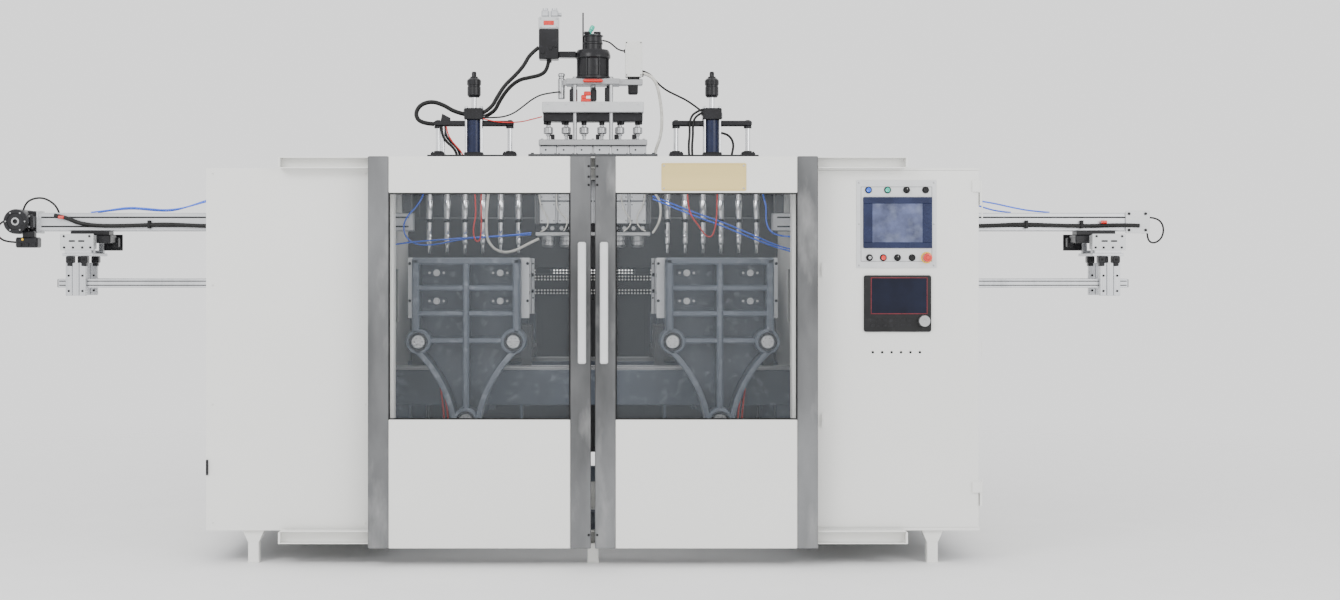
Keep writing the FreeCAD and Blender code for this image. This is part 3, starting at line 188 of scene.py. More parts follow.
# ---- mesh building ----
class Piece:
    """Collects bevelled solids into one mesh. Places are in the CAD frame, in metres."""

    def __init__(self):
        self.bm = bmesh.new()

    def box(self, x0, x1, y0, y1, z0, z1, edge=0.0015):
        """A block whose twelve edges are chamfered."""
        edge = min(edge, 0.45 * min(x1 - x0, y1 - y0, z1 - z0))
        lo, hi = (x0, y0, z0), (x1, y1, z1)
        corners = list(product((0, 1), repeat=3))
        corner = {}
        for s in corners:
            for axis in range(3):
                at = [(hi[k] if s[k] else lo[k]) for k in range(3)]
                for k in range(3):
                    if k != axis:
                        at[k] += -edge if s[k] else edge
                corner[s, axis] = self.bm.verts.new(at)

        def pick(axis, along, a, u, b, v):
            """The corner with these three sides chosen."""
            s = [0, 0, 0]
            s[axis], s[a], s[b] = along, u, v
            return tuple(s)

        for axis in range(3):
            a, b = [k for k in range(3) if k != axis]
            for end in (0, 1):
                self.bm.faces.new([corner[pick(axis, end, a, u, b, v), axis] for u,
                    v in ((0, 0), (1, 0), (1, 1), (0, 1))])
            for u, v in product((0, 1), repeat=2):
                low, high = pick(axis, 0, a, u, b, v), pick(axis, 1, a, u, b, v)
                self.bm.faces.new([corner[low, a], corner[high, a], corner[high, b], corner[low, b]])
        for s in corners:
            self.bm.faces.new([corner[s, k] for k in range(3)])
        return self

    def block(self, x, y, z, wide, deep, high, edge=0.0015):
        """A block centred on x, y that stands on height z."""
        return self.box(x - wide / 2, x + wide / 2, y - deep / 2, y + deep / 2, z, z + high, edge)

    def spin(self, origin, axis, profile, sides=28):
        """A turned shape: profile is radius and height along axis, from one end to the other."""
        turn = Z.rotation_difference(Vector(axis))
        origin = Vector(origin)
        rings = []
        for r, h in profile:
            if r < 1e-7:
                rings.append([self.bm.verts.new(origin + turn @ Vector((0, 0, h)))])
            else:
                rings.append([self.bm.verts.new(origin + turn @ Vector((r
                    * math.cos(math.tau * i / sides), r * math.sin(math.tau * i / sides),
                    h))) for i in range(sides)])
        for a, b in zip(rings, rings[1:]):
            for i in range(sides):
                j = (i + 1) % sides
                if len(a) == 1 and len(b) == 1:
                    continue
                if len(a) == 1:
                    self.bm.faces.new([a[0], b[i], b[j]])
                elif len(b) == 1:
                    self.bm.faces.new([a[i], a[j], b[0]])
                else:
                    self.bm.faces.new([a[i], a[j], b[j], b[i]])
        return self

    def rod(self, origin, axis, radius, length, sides=28, edge=0.001):
        edge = min(edge, radius * 0.4, length * 0.4)
        return self.spin(origin, axis, [(0, 0), (radius - edge, 0), (radius, edge),
            (radius, length - edge), (radius - edge, length), (0, length)], sides)

    def ring(self, origin, axis, inner, outer, height, sides=28, edge=0.0008):
        return self.spin(origin, axis, [(inner, 0), (outer - edge, 0), (outer, edge),
            (outer, height - edge), (outer - edge, height), (inner, height), (inner, 0)], sides)

    def cap_screw(self, origin, axis, radius=0.005):
        """Socket head screw with its recess."""
        r = radius
        return self.spin(origin, axis, [(0, 0), (r, 0), (r, r * 0.8), (r * 0.85, r), (r * 0.5, r),
            (r * 0.5, r * 0.4), (0, r * 0.4)], 14)

    def hex_bolt(self, origin, axis, radius=0.008):
        """Washer and six-sided head."""
        self.spin(origin, axis, [(0, 0), (radius * 1.35, 0), (radius * 1.35, radius * 0.2),
            (0, radius * 0.2)], 20)
        return self.spin(origin, axis, [(0, 0), (radius, 0), (radius, radius * 0.75),
            (radius * 0.85, radius * 0.9), (0, radius * 0.9)], 6)

    def slab(self, outline, y0, y1, edge=0.0, segments=2):
        """An outline of x, z points carried from y0 to y1, with its front and back edges rounded."""
        part = bmesh.new()
        front = [part.verts.new((x, y0, z)) for x, z in outline]
        face = part.faces.new(front)
        out = bmesh.ops.extrude_face_region(part, geom=[face])
        bmesh.ops.translate(part, vec=(0, y1 - y0, 0), verts=[v for v in out["geom"] if isinstance(v,
            bmesh.types.BMVert)])
        if edge:
            rims = [e for e in part.edges if abs(e.verts[0].co.y - e.verts[1].co.y) < 1e-7]
            bmesh.ops.bevel(part, geom=rims, offset=edge, segments=segments, profile=0.6,
                affect="EDGES", clamp_overlap=True)
        return self.absorb(part)

    def tube(self, x0, x1, y0, y1, z0, z1, axis, wall=0.006, edge=0.003):
        """A rectangular hollow section, open at both ends."""
        lo, hi = [x0, y0, z0], [x1, y1, z1]
        a, b = [k for k in range(3) if k != axis]
        loops = []
        for inset, end in ((0, 0), (0, 1), (wall, 1), (wall, 0)):
            u0, u1, v0, v1 = lo[a] + inset, hi[a] - inset, lo[b] + inset, hi[b] - inset
            c = edge if inset == 0 else 0.0005
            ring = []
            for u, v in ((u0 + c, v0), (u1 - c, v0), (u1, v0 + c), (u1, v1 - c), (u1 - c, v1),
                    (u0 + c, v1), (u0, v1 - c), (u0, v0 + c)):
                at = [0, 0, 0]
                at[a], at[b], at[axis] = u, v, (hi if end else lo)[axis]
                ring.append(self.bm.verts.new(at))
            loops.append(ring)
        for n in range(4):
            one, two = loops[n], loops[(n + 1) % 4]
            for i in range(8):
                j = (i + 1) % 8
                self.bm.faces.new([one[i], one[j], two[j], two[i]])
        return self

    def absorb(self, part):
        """Take in the solids of a bmesh, which is used up."""
        mesh = bpy.data.meshes.new("part")
        part.to_mesh(mesh)
        part.free()
        self.bm.from_mesh(mesh)
        bpy.data.meshes.remove(mesh)
        return self

    def add_mirror(self):
        """Add the same solids on the other side of X = 0."""
        copy = self.bm.copy()
        bmesh.ops.scale(copy, vec=(-1, 1, 1), verts=copy.verts)
        return self.absorb(copy)

    def mirror(self):
        bmesh.ops.scale(self.bm, vec=(-1, 1, 1), verts=self.bm.verts)
        return self

    def shift(self, x=0.0, y=0.0, z=0.0):
        bmesh.ops.translate(self.bm, vec=(x, y, z), verts=self.bm.verts)
        return self

    def join(self, other):
        """Take in another piece's solids."""
        return self.absorb(other.bm)

    def holed_cell(self, x0, x1, z0, z1, y0, y1, radius, sides):
        """One cell of a perforated sheet: a rectangle with a round hole right through it."""
        cx, cz = (x0 + x1) / 2, (z0 + z1) / 2
        square = [(x1, cz), (x1, z1), (cx, z1), (x0, z1), (x0, cz), (x0, z0), (cx, z0), (x1, z0)]
        step = sides // 4
        rings = []
        for y in (y0, y1):
            outer = [self.bm.verts.new((x, y, z)) for x, z in square]
            hole = [self.bm.verts.new((cx + radius * math.cos(math.tau * i / sides), y,
                cz + radius * math.sin(math.tau * i / sides))) for i in range(sides)]
            for q in range(4):
                arc_points = [hole[(q * step + i) % sides] for i in range(step + 1)]
                corner = [outer[2 * q], outer[2 * q + 1], outer[(2 * q + 2) % 8]]
                self.bm.faces.new(corner + arc_points[::-1])
            rings.append(hole)
        for i in range(sides):
            j = (i + 1) % sides
            self.bm.faces.new([rings[0][i], rings[0][j], rings[1][j], rings[1][i]])
        return self

    def done(self, name, body, finish, *nodes):
        bmesh.ops.recalc_face_normals(self.bm, faces=self.bm.faces)
        mesh = bpy.data.meshes.new(name)
        self.bm.to_mesh(mesh)
        self.bm.free()
        mesh.polygons.foreach_set("use_smooth", [True] * len(mesh.polygons))
        mesh.set_sharp_from_angle(angle=math.radians(32))
        obj = bpy.data.objects.new(name, mesh)
        bpy.context.scene.collection.objects.link(obj)
        return settle(obj, body, finish, nodes)


def settle(obj, body, finish, nodes=()):
    obj.data.materials.append(M[finish])
    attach(obj, body)
    if nodes:
        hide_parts(*nodes)
    return obj


def wire(name, points, diameter, finish, body="machine", nodes=()):
    """A round line on one smooth spline through space."""
    data = bpy.data.curves.new(name, "CURVE")
    data.dimensions = "3D"
    spline = data.splines.new("NURBS")
    spline.points.add(len(points) - 1)
    for point, at in zip(spline.points, points):
        point.co = (*at, 1.0)
    spline.order_u = 3
    spline.use_endpoint_u = True
    spline.resolution_u = 8
    data.bevel_depth = diameter / 2
    data.bevel_resolution = 3
    data.use_fill_caps = True
    obj = bpy.data.objects.new(name, data)
    bpy.context.scene.collection.objects.link(obj)
    return settle(obj, body, finish, nodes)


def turns(count, start=0.0):
    """Cosine and sine of count even steps round a circle."""
    angles = [math.tau * (k + start) / count for k in range(count)]
    return [(math.cos(a), math.sin(a)) for a in angles]


def grid(make, xs, ys, zs, *rest):
    """Call make at every place that has one of the xs, one of the ys and one of the zs."""
    for at in product(xs, ys, zs):
        make(at, *rest)


def round_part(node):
    """Middle x and z, radius and corners of a round control."""
    lo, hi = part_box(node)
    return (lo.x + hi.x) / 2, (lo.z + hi.z) / 2, (hi.x - lo.x) / 2, lo, hi


def four_strips(piece, x0, x1, z0, z1, width, y0, y1, edge):
    """Four strips just inside a rectangle."""
    for a, b, c, d in ((x0, x1, z0, z0 + width), (x0, x1, z1 - width, z1), (x0, x0 + width, z0, z1),
            (x1 - width, x1, z0, z1)):
        piece.box(a, b, y0, y1, c, d, edge)


def side_name(side):
    return "left" if side < 0 else "right"


# ---- camera ----
camera_data = bpy.data.cameras.new("camera")
camera_data.lens = 47.8
camera_data.sensor_width = 36.0
camera_data.shift_x = 0.0575
camera_data.shift_y = -0.026
camera_data.clip_end = 200
camera = bpy.data.objects.new("camera", camera_data)
bpy.context.scene.collection.objects.link(camera)
camera.location = (0.0, CABINET_Y - CAMERA_DISTANCE, CAMERA_HEIGHT)
camera.rotation_euler = (math.radians(90), 0, 0)
bpy.context.scene.camera = camera

# ---- free hoses and cables ----
# name, diameter, distance behind the mould plane, real length, finish, route as x and z
HOSES = (
    ("left_loop_hose", 0.022, 0.0, 0.406, "hose_rubber",
     ((-.6475, 2.112), (-.700, 2.124), (-.752, 2.158), (-.815, 2.178), (-.875, 2.158), (-.898, 2.108),
      (-.868, 2.066), (-.801, 2.062))),
    ("valve_hose", 0.020, -0.024, 0.438, "hose_rubber",
     ((-.5525, 2.118), (-.512, 2.140), (-.482, 2.196), (-.444, 2.256), (-.392, 2.304), (-.346, 2.356),
      (-.318, 2.412), (-.272, 2.446))),
    ("braided_hose", 0.020, 0.024, 0.466, "hose_rubber",
     ((-.5525, 2.100), (-.500, 2.122), (-.472, 2.182), (-.430, 2.244), (-.376, 2.288), (-.318, 2.300),
      (-.262, 2.312), (-.230, 2.342), (-.224, 2.386))),
    ("sensor_cable", 0.008, -0.030, 0.422, "hose_rubber",
     ((-.5525, 2.092), (-.502, 2.092), (-.448, 2.096), (-.398, 2.114), (-.352, 2.148), (-.302, 2.188),
      (-.246, 2.214), (-.164, 2.222))),
    ("box_cable", 0.010, 0.0, 0.373, "hose_rubber",
     ((.247, 2.330), (.284, 2.320), (.318, 2.276), (.366, 2.234), (.424, 2.206), (.486, 2.176),
      (.5525, 2.124))),
    ("heater_loom", 0.016, -0.020, 0.466, "glass_fibre",
     ((.247, 2.316), (.290, 2.308), (.322, 2.262), (.336, 2.196), (.346, 2.126), (.348, 2.054),
      (.338, 1.986), (.318, 1.938), (.310, 1.900))),
    ("cap_cable", 0.008, 0.0, 0.132, "hose_rubber",
     ((.047, 2.484), (.078, 2.480), (.106, 2.456), (.132, 2.434), (.163, 2.430))),
    ("right_inner_hose", 0.012, -0.034, 0.240, "hose_rubber",
     ((.500, 1.896), (.497, 1.946), (.503, 2.000), (.502, 2.056), (.514, 2.100), (.5525, 2.118))),
    ("right_outer_hose", 0.012, -0.034, 0.258, "hose_rubber",
     ((.484, 1.896), (.480, 1.950), (.487, 2.008), (.485, 2.072), (.506, 2.118), (.5525, 2.133))),
    ("left_front_hose", 0.014, -0.012, 0.180, "hose_rubber",
     ((-.764, 2.050), (-.762, 2.012), (-.742, 1.976), (-.712, 1.950), (-.690, 1.924), (-.684, 1.896))),
    ("left_back_hose", 0.014, 0.012, 0.180, "hose_rubber",
     ((-.750, 2.050), (-.748, 2.014), (-.728, 1.982), (-.698, 1.956), (-.676, 1.928), (-.670, 1.896))),
    ("right_short_hose", 0.012, 0.0, 0.164, "hose_rubber",
     ((.640, 2.018), (.672, 2.014), (.700, 1.990), (.710, 1.956), (.704, 1.922), (.698, 1.896))),
    ("right_beam_loop", 0.009, -0.030, 0.268, "hose_rubber",
     ((2.793, 1.590), (2.832, 1.588), (2.864, 1.562), (2.872, 1.520), (2.856, 1.478), (2.818, 1.458),
      (2.790, 1.476), (2.788, 1.510))),
    ("motor_loop", 0.010, -0.100, 0.204, "hose_rubber",
     ((-2.929, 1.575), (-2.962, 1.560), (-2.976, 1.522), (-2.962, 1.484), (-2.922, 1.466),
      (-2.873, 1.464))),
    ("drive_cable", 0.010, -0.020, 0.244, "hose_rubber",
     ((-2.868, 1.629), (-2.858, 1.662), (-2.820, 1.686), (-2.768, 1.690), (-2.722, 1.666),
      (-2.696, 1.636), (-2.688, 1.612))),
    ("left_air_line", 0.008, -0.014, 0.789, "blue_tube",
     ((-2.530, 1.616), (-2.440, 1.626), (-2.345, 1.642), (-2.250, 1.636), (-2.155, 1.626),
      (-2.060, 1.638), (-1.960, 1.668), (-1.855, 1.690), (-1.750, 1.694))),
    ("left_air_line_2", 0.008, 0.006, 0.763, "blue_tube",
     ((-2.500, 1.616), (-2.410, 1.630), (-2.315, 1.636), (-2.220, 1.626), (-2.130, 1.622),
      (-2.040, 1.646), (-1.945, 1.680), (-1.850, 1.704), (-1.750, 1.708))),
    ("right_air_line", 0.008, -0.014, 0.556, "blue_tube",
     ((2.300, 1.616), (2.210, 1.622), (2.115, 1.640), (2.020, 1.662), (1.930, 1.676), (1.840, 1.688),
      (1.750, 1.694))),
    ("right_air_line_2", 0.008, 0.006, 0.373, "blue_tube",
     ((2.110, 1.616), (2.040, 1.622), (1.970, 1.642), (1.900, 1.668), (1.826, 1.696), (1.750, 1.706))),
)
for name, diameter, behind, length, finish, route in HOSES:
    points = [(x, MIDDLE_Y + behind, z) for x, z in route]
    hose = wire(name, points, diameter, finish, nodes=("hoses",))


def arc(a, middle, b, count=12):
    """Points of the circular arc from a through middle to b, as x, z pairs."""
    (ax, az), (mx, mz), (bx, bz) = a, middle, b
    d = 2 * (ax * (mz - bz) + mx * (bz - az) + bx * (az - mz))
    sa, sm, sb = ax * ax + az * az, mx * mx + mz * mz, bx * bx + bz * bz
    cx = (sa * (mz - bz) + sm * (bz - az) + sb * (az - mz)) / d
    cz = (sa * (bx - mx) + sm * (ax - bx) + sb * (mx - ax)) / d
    radius = math.hypot(ax - cx, az - cz)
    start = math.atan2(az - cz, ax - cx)
    turn = (math.atan2(bz - cz, bx - cx) - start + math.pi) % math.tau - math.pi
    return [(cx + radius * math.cos(start + turn * i / count), cz + radius
        * math.sin(start + turn * i / count)) for i in range(count + 1)]


def round_corner(x, z, radius, start, count=5):
    """Quarter circle round x, z that begins at angle start, in degrees."""
    return [(x + radius * math.cos(math.radians(start + 90 * i / count)),
        z + radius * math.sin(math.radians(start + 90 * i / count))) for i in range(count + 1)]


def round_box(x0, x1, z0, z1, radius):
    corners = ((x1 - radius, z1 - radius), (x0 + radius, z1 - radius), (x0 + radius, z0 + radius),
               (x1 - radius, z0 + radius))
    return [point for i, (x, z) in enumerate(corners) for point in round_corner(x, z, radius, 90 * i)]


# ---- floor frame, bed, feet and stand ----
def floor_frame():
    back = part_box("left_cabinet")[1].y - 0.006
    front = CABINET_Y + 0.020
    ring_low, ring_top, ring = RING_LOW, RING_TOP, TUBE_SIZE
    side_x, inner = 1.740, COLUMN_INNER
    p = Piece()
    p.tube(-side_x, side_x, front, front + 0.08, ring_low, ring_top, 0)
    p.tube(-side_x, side_x, back - 0.08, back, ring_low, ring_top, 0)
    half = Piece()
    for x in (inner, side_x - ring):
        half.tube(x, x + ring, front + 0.08, back - 0.08, ring_low, ring_top, 1)
    p.join(half.add_mirror())
    p.done("ring_frame", "machine", "casting", "base_frame")

    bed_low, bed_top = 0.656, 0.830
    for name, y in (("front", 0.715), ("rear", 1.515)):
        beam = Piece()
        beam.tube(-1.0, 1.0, y, y + 0.1, bed_low, bed_top, 0, edge=0.006)
        half = Piece().tube(inner, 1.0, y, y + 0.1, ring_top, bed_low, 2, edge=0.006)
        half.box(inner - 0.03, 1.0, y - 0.001, y + 0.101, ring_top, ring_top + 0.012)
        for x in (0.35, 0.62):
            half.box(x, x + 0.012, y + 0.004, y + 0.096, bed_low - 0.07, bed_low + 0.002)
        beam.join(half.add_mirror())
        beam.done(f"bed_beam_{name}", "machine", "casting", "base_frame")
        rail = Piece()
        middle = y + 0.05
        rail.box(-0.98, 0.98, middle - 0.020, middle + 0.020, bed_top, bed_top + 0.006, 0.001)
        rail.box(-0.98, 0.98, middle - 0.013, middle + 0.013, bed_top + 0.006, bed_top + 0.015, 0.002)
        rail.box(-0.98, 0.98, middle - 0.018, middle + 0.018, bed_top + 0.015, bed_top + 0.022, 0.002)
        for i in range(25):
            rail.ring((-0.96 + i * 0.08, middle, bed_top + 0.0215), Z, 0.004, 0.006, 0.0008, 12, 0.0002)
        rail.done(f"slide_rail_{name}", "machine", "machined_steel", "base_frame")

    p = Piece()
    stand_front, stand_back, out = STAND_FRONT, STAND_BACK, 0.345
    half = Piece().tube(out - ring, out, back, stand_back, ring_low, ring_top, 1)
    for y in (stand_front, stand_back - ring):
        half.tube(out - ring, out, y, y + ring, ring_top, 1.480, 2, edge=0.006)
        half.box(out - ring - 0.015, out + 0.004, y - 0.004, y + ring + 0.004, ring_top,
            ring_top + 0.012)
    half.box(out - 0.07, out - 0.03, stand_front + ring, stand_back - ring, 0.62, 0.68, 0.004)
    p.join(half.add_mirror())
    p.box(-out, out, stand_front, stand_back, 1.480, 1.500, 0.003)
    for y in (stand_front + 0.03, stand_back - 0.03):
        p.box(-0.25, 0.25, y - 0.02, y + 0.02, 1.40, 1.46, 0.004)
        for x in (-0.30, 0.30):
            p.hex_bolt((x, y, 1.500), Z, 0.010)
    p.done("extruder_stand", "machine", "frame_grey", "base_frame")

    feet = Piece()
    foot = 0.025
    places = [(0, 0, False), (0, back - 0.04, True)]
    for x in (-1.540, 1.540):
        places += [(x, 0, True), (x, back - 0.04, True)]
    for x in (-out + ring / 2, out - ring / 2):
        places.append((x, stand_back - ring / 2, False))
    for x, y, flared in places:
        feet.block(x, y, 0.0, 2 * foot, 2 * foot, ring_low, 0.004)
        feet.block(x, y, 0.0, 2 * foot + 0.004, 2 * foot + 0.004, 0.008, 0.002)
        if flared:
            feet.slab([(x - 2 * foot, ring_low), (x - foot, ring_low - 0.055),
                (x + foot, ring_low - 0.055), (x + 2 * foot, ring_low)], y - foot - 0.001,
                y + foot + 0.001, 0.002)
    feet.done("feet", "machine", "white_panel", "base_frame")


# ---- columns, beams and guards ----
def upper_frame():
    low, top, tube = RING_TOP, DOOR_HIGH.z + 0.004, TUBE_SIZE
    side = top - 0.1
    front = CABINET_Y + 0.020
    rear = 1.655
    inner = COLUMN_INNER
    p = Piece().tube(inner, 1.0, front, front + tube, low, side, 2, edge=0.006)
    p.add_mirror()
    p.tube(-inner, inner, HEADER_Y, HEADER_Y + tube, side, top, 0, edge=0.005)
    p.done("front_columns", "machine", "white_panel", "upper_frame")
    half = Piece().tube(inner, 1.0, rear, rear + tube, low, side, 2, edge=0.006)
    half.tube(inner, 1.0, front, rear + tube, side, top, 1, edge=0.006)
    half.box(inner + 0.004, 0.996, front + 0.001, front + 0.005, side + 0.004, top - 0.004, 0.001)
    half.box(inner + 0.010, inner + 0.055, MIDDLE_Y - 0.04, MIDDLE_Y + 0.04, 1.612, side, 0.003)
    half.box(inner + 0.006, inner + 0.059, MIDDLE_Y - 0.055, MIDDLE_Y + 0.055, side - 0.012, side,
        0.002)
    p = half.add_mirror()
    for y in (0.695, 0.995):
        p.tube(-inner, inner, y, y + 0.08, DECK_Z - 0.12, DECK_Z, 0, edge=0.005)
    p.done("upper_beams", "machine", "frame_grey", "upper_frame")

    y0, y1, z0, z1 = 1.535, 1.655, 1.331, 1.609
    beam = Piece().tube(-1.0, 1.0, y0, y1, z0, z1, 0, 0.008, edge=0.007)
    half = Piece()
    half.slab(round_corner(0.9625, z1 + 0.0585, 0.0225, 0, 8) + round_corner(0.9625, z1 + 0.0585,
        0.0225, 90, 8) + [(0.940, z1 - 0.004), (0.985, z1 - 0.004)], y0 + 0.02, y0 + 0.06, 0.005)
    half.ring((0.9625, y0 + 0.018, z1 + 0.055), Y, 0.008, 0.014, 0.044)
    for z in (z0 + 0.04, z1 - 0.04):
        half.hex_bolt((0.975, y0, z), -Y, 0.009)
    beam.join(half.add_mirror())
    beam.done("rear_beam", "machine", "frame_grey", "upper_frame")


def fence():
    """Framed sheet guards round the clamp cylinders."""
    low, top, wall, back, out = 0.240, 1.300, 1.855, 2.475, 1.0
    rim = 0.030
    frames, skins, half = Piece(), Piece(), Piece()
    for z in (low, top - rim):
        half.box(out - rim, out, wall, back, z, z + rim, 0.003)
    for y in (wall, back - rim, (wall + back) / 2):
        half.box(out - rim, out, y, y + rim, low + rim, top - rim, 0.003)
    half.box(out - rim, out, back, back + rim, 0, top, 0.003)
    half.box(out - rim - 0.02, out + 0.02, back - 0.02, back + rim + 0.02, 0, 0.008, 0.002)
    for z in (low + 0.015, top - 0.015):
        for y in (wall + 0.10, back - 0.10):
            half.cap_screw((out, y, z), X, 0.005)
    frames.join(half.add_mirror())
    for z in (low, top - rim):
        frames.box(-out + rim, out - rim, back, back + rim, z, z + rim, 0.003)
    for x in (-0.660, -0.320, 0.0, 0.320, 0.660):
        frames.box(x - 0.015, x + 0.015, back, back + rim, low + rim, top - rim, 0.003)
    frames.done("fence_frame", "machine", "frame_grey", "rear_guard")
    half = Piece().box(out - 0.004, out - 0.001, wall + rim, back - rim, low + rim, top - rim, 0.0005)
    skins.join(half.add_mirror())
    skins.box(-out + rim, out - rim, back + 0.001, back + 0.004, low + rim, top - rim, 0.0005)
    skins.done("fence_sheets", "machine", "frame_grey", "rear_guard")
    light = Piece().box(-out + 0.10, out - 0.10, back - 0.006, back - 0.002, top - 0.150, top - 0.010,
        0.001)
    light.done("fence_band", "machine", "white_panel")


def perforated_plate():
    """Plate under the rear beam, with staggered rows of round holes in its middle."""
    y, thick = 1.645, 0.003
    z0, z1, half_width = 1.151, 1.331, 0.890
    pitch, hole, sides = 0.017, 0.005, 12
    p = Piece()
    rows = [z1 - 0.009 - i * pitch for i in range(4)] + [z0 + 0.045 + i * pitch for i in (1, 0)]
    columns = 38
    field = columns * pitch / 2
    bands = sorted(set([z0, z1] + [z + s * pitch / 2 for z in rows for s in (-1, 1)]))
    bands = [z for i, z in enumerate(bands) if i == 0 or z - bands[i - 1] > 1e-6]
    for low, high in zip(bands, bands[1:]):
        middle = (low + high) / 2
        row = [z for z in rows if abs(z - middle) < 1e-4]
        if not row:
            p.box(-field, field, y, y + thick, low, high, 0.00005)
            continue
        for i in range(columns):
            p.holed_cell(-field + i * pitch, -field + (i + 1) * pitch, low, high, y, y + thick, hole,
                sides)
    for s in (-1, 1):
        a, b = sorted((s * field, s * half_width))
        p.box(a, b, y, y + thick, z0, z1, 0.00005)
    half = Piece().box(0.160, half_width, y, y + thick, 1.609, 1.740, 0.001)
    for x in (0.21, 0.43, 0.65, 0.85):
        half.hex_bolt((x, y, 1.625), -Y, 0.007)
    p.join(half.add_mirror())
    # The plate's dark grey is partly its own paint and partly painted shade: it is made dark to give the dark
    # look of the shaded inside of the machine.
    p.done("perforated_plate", "machine", "frame_grey", "rear_guard")
    p = Piece()
    for x in [(-0.85 + i * 0.17) for i in range(11)]:
        p.cap_screw((x, y, z0 + 0.012), -Y, 0.005)
    p.done("plate_screws", "machine", "black_metal", "rear_guard")


# ---- doors ----
def door(side):
    name = side_name(side)
    body = name + "_door"
    node = name + "_door_frame"
    x0, x1 = DOOR_LOW.x, 1.005
    post = WINDOW_LOW.x - x0
    low, top = DOOR_LOW.z, DOOR_HIGH.z
    z0, z1 = WINDOW_LOW.z, WINDOW_HIGH.z
    y0, y1 = DOOR_FRONT, DOOR_BACK
    p = Piece()
    for x in (x0, x1 - post):
        p.box(x, x + post, y0, y1, low, top, 0.003)
    for x in (x0 + 0.006, x1 - post + 0.006):
        p.box(x, x + post - 0.012, y0 + 0.006, y1 - 0.006, low - 0.0008, top + 0.0008, 0.0004)
    finish_side(p, side, name + "_door_posts", body, "stainless", node)
    p = Piece()
    p.box(x0 + post, x1 - post, y0 + 0.0015, y1, low, z0, 0.003)
    p.box(x0 + post, x1 - post, y0 + 0.0015, y1, z1, top, 0.003)
    finish_side(p, side, name + "_door_panels", body, "white_panel", node)
    seal = Piece()
    a, b, wide = x0 + post, x1 - post, 0.006
    for z in (z0, z1 - wide):
        seal.box(a, b, y0 + 0.004, y0 + 0.020, z, z + wide, 0.001)
    for x in (a, b - wide):
        seal.box(x, x + wide, y0 + 0.004, y0 + 0.020, z0 + wide, z1 - wide, 0.001)
    finish_side(seal, side, name + "_window_seal", body, "black_plastic")
    screws = Piece()
    for z in (1.792, 1.745, 1.708, 0.146):
        screws.cap_screw((x0 + 0.010, y0, z), -Y, 0.0055)
    for z in (low + 0.06, z0 - 0.05, z1 + 0.05, top - 0.05):
        for x in (a + 0.012, b - 0.012):
            screws.cap_screw((x, y1, z), Y, 0.004)
    grid(screws.hex_bolt, (0.055, 0.600), (y1 - 0.0015,), (0.128, 1.811), Y, 0.009)
    finish_side(screws, side, name + "_door_screws", body, "black_metal")
    rollers = Piece()
    for z0r, z1r in ((1.786, 1.836), (0.099, 0.157)):
        radius = (z1r - z0r) / 2 - 0.0045
        for x in (0.055, 0.600):
            at = (x, y1, (z0r + z1r) / 2)
            rollers.spin(at, Y, [(0, 0), (0.006, 0), (0.006, 0.010), (radius - 0.002, 0.010),
                (radius, 0.012), (radius, 0.030), (radius - 0.002, 0.032), (0.008, 0.032),
                (0.008, 0.035), (0, 0.035)])
    finish_side(rollers, side, name + "_door_rollers", body, "machined_steel", node)
    handle = Piece()
    low_h, high_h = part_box("right_door_handle")
    x, front = (low_h.x + high_h.x) / 2, low_h.y
    wide = (high_h.x - low_h.x) / 2
    handle.box(x - wide, x + wide, front, front + 0.018, low_h.z, high_h.z, 0.006)
    for z in (low_h.z + 0.015, high_h.z - 0.045):
        handle.box(x - 0.010, x + 0.010, front + 0.017, y0, z, z + 0.030, 0.003)
        handle.box(x - 0.015, x + 0.015, y0 - 0.003, y0, z - 0.008, z + 0.038, 0.001)
    finish_side(handle, side, name + "_handle", body, "light_handle", name + "_door_handle")


def finish_side(piece, side, name, body, finish, *nodes):
    if side < 0:
        piece.mirror()
    return piece.done(name, body, finish, *nodes)


def name_plate():
    """Blank plate with a raised border, held by four screws."""
    x0, x1, z0, z1 = 0.305, 0.685, 1.681, 1.806
    y = DOOR_FRONT + 0.0015
    p = Piece().slab(round_box(x0, x1, z0, z1, 0.008), y - 0.002, y, 0.0006, 1)
    inset = 0.006
    four_strips(p, x0 + inset, x1 - inset, z0 + inset, z1 - inset, 0.002, y - 0.0030, y - 0.0018,
        0.0004)
    p.done("blank_plate", "right_door", "brass_plate")
    p = Piece()
    for x in (x0 + 0.012, x1 - 0.012):
        for z in (z0 + 0.012, z1 - 0.012):
            p.spin((x, y - 0.002, z), -Y, [(0, 0), (0.0045, 0), (0.0040, 0.0012), (0.002, 0.0020),
                (0, 0.0022)], 16)
    p.done("plate_pins", "right_door", "machined_steel")


# ---- clamps ----
def arm_edge(half, low_half, top, low):
    """Right-hand hollow curve of a casting's lower arms, from the top down."""
    middle = (low_half + (half - low_half) * 0.42, low + (top - low) * 0.62)
    return arc((half, top), middle, (low_half, low), 14)


def strip_along(piece, points, width, y0, y1, edge):
    """A rib of even width whose outer edge follows points."""
    inner = []
    for i, (x, z) in enumerate(points):
        ax, az = points[max(0, i - 1)]
        bx, bz = points[min(len(points) - 1, i + 1)]
        dx, dz = bx - ax, bz - az
        n = math.hypot(dx, dz)
        inner.append((x + dz / n * width, z - dx / n * width))
    piece.slab(points + inner[::-1], y0, y1, edge)


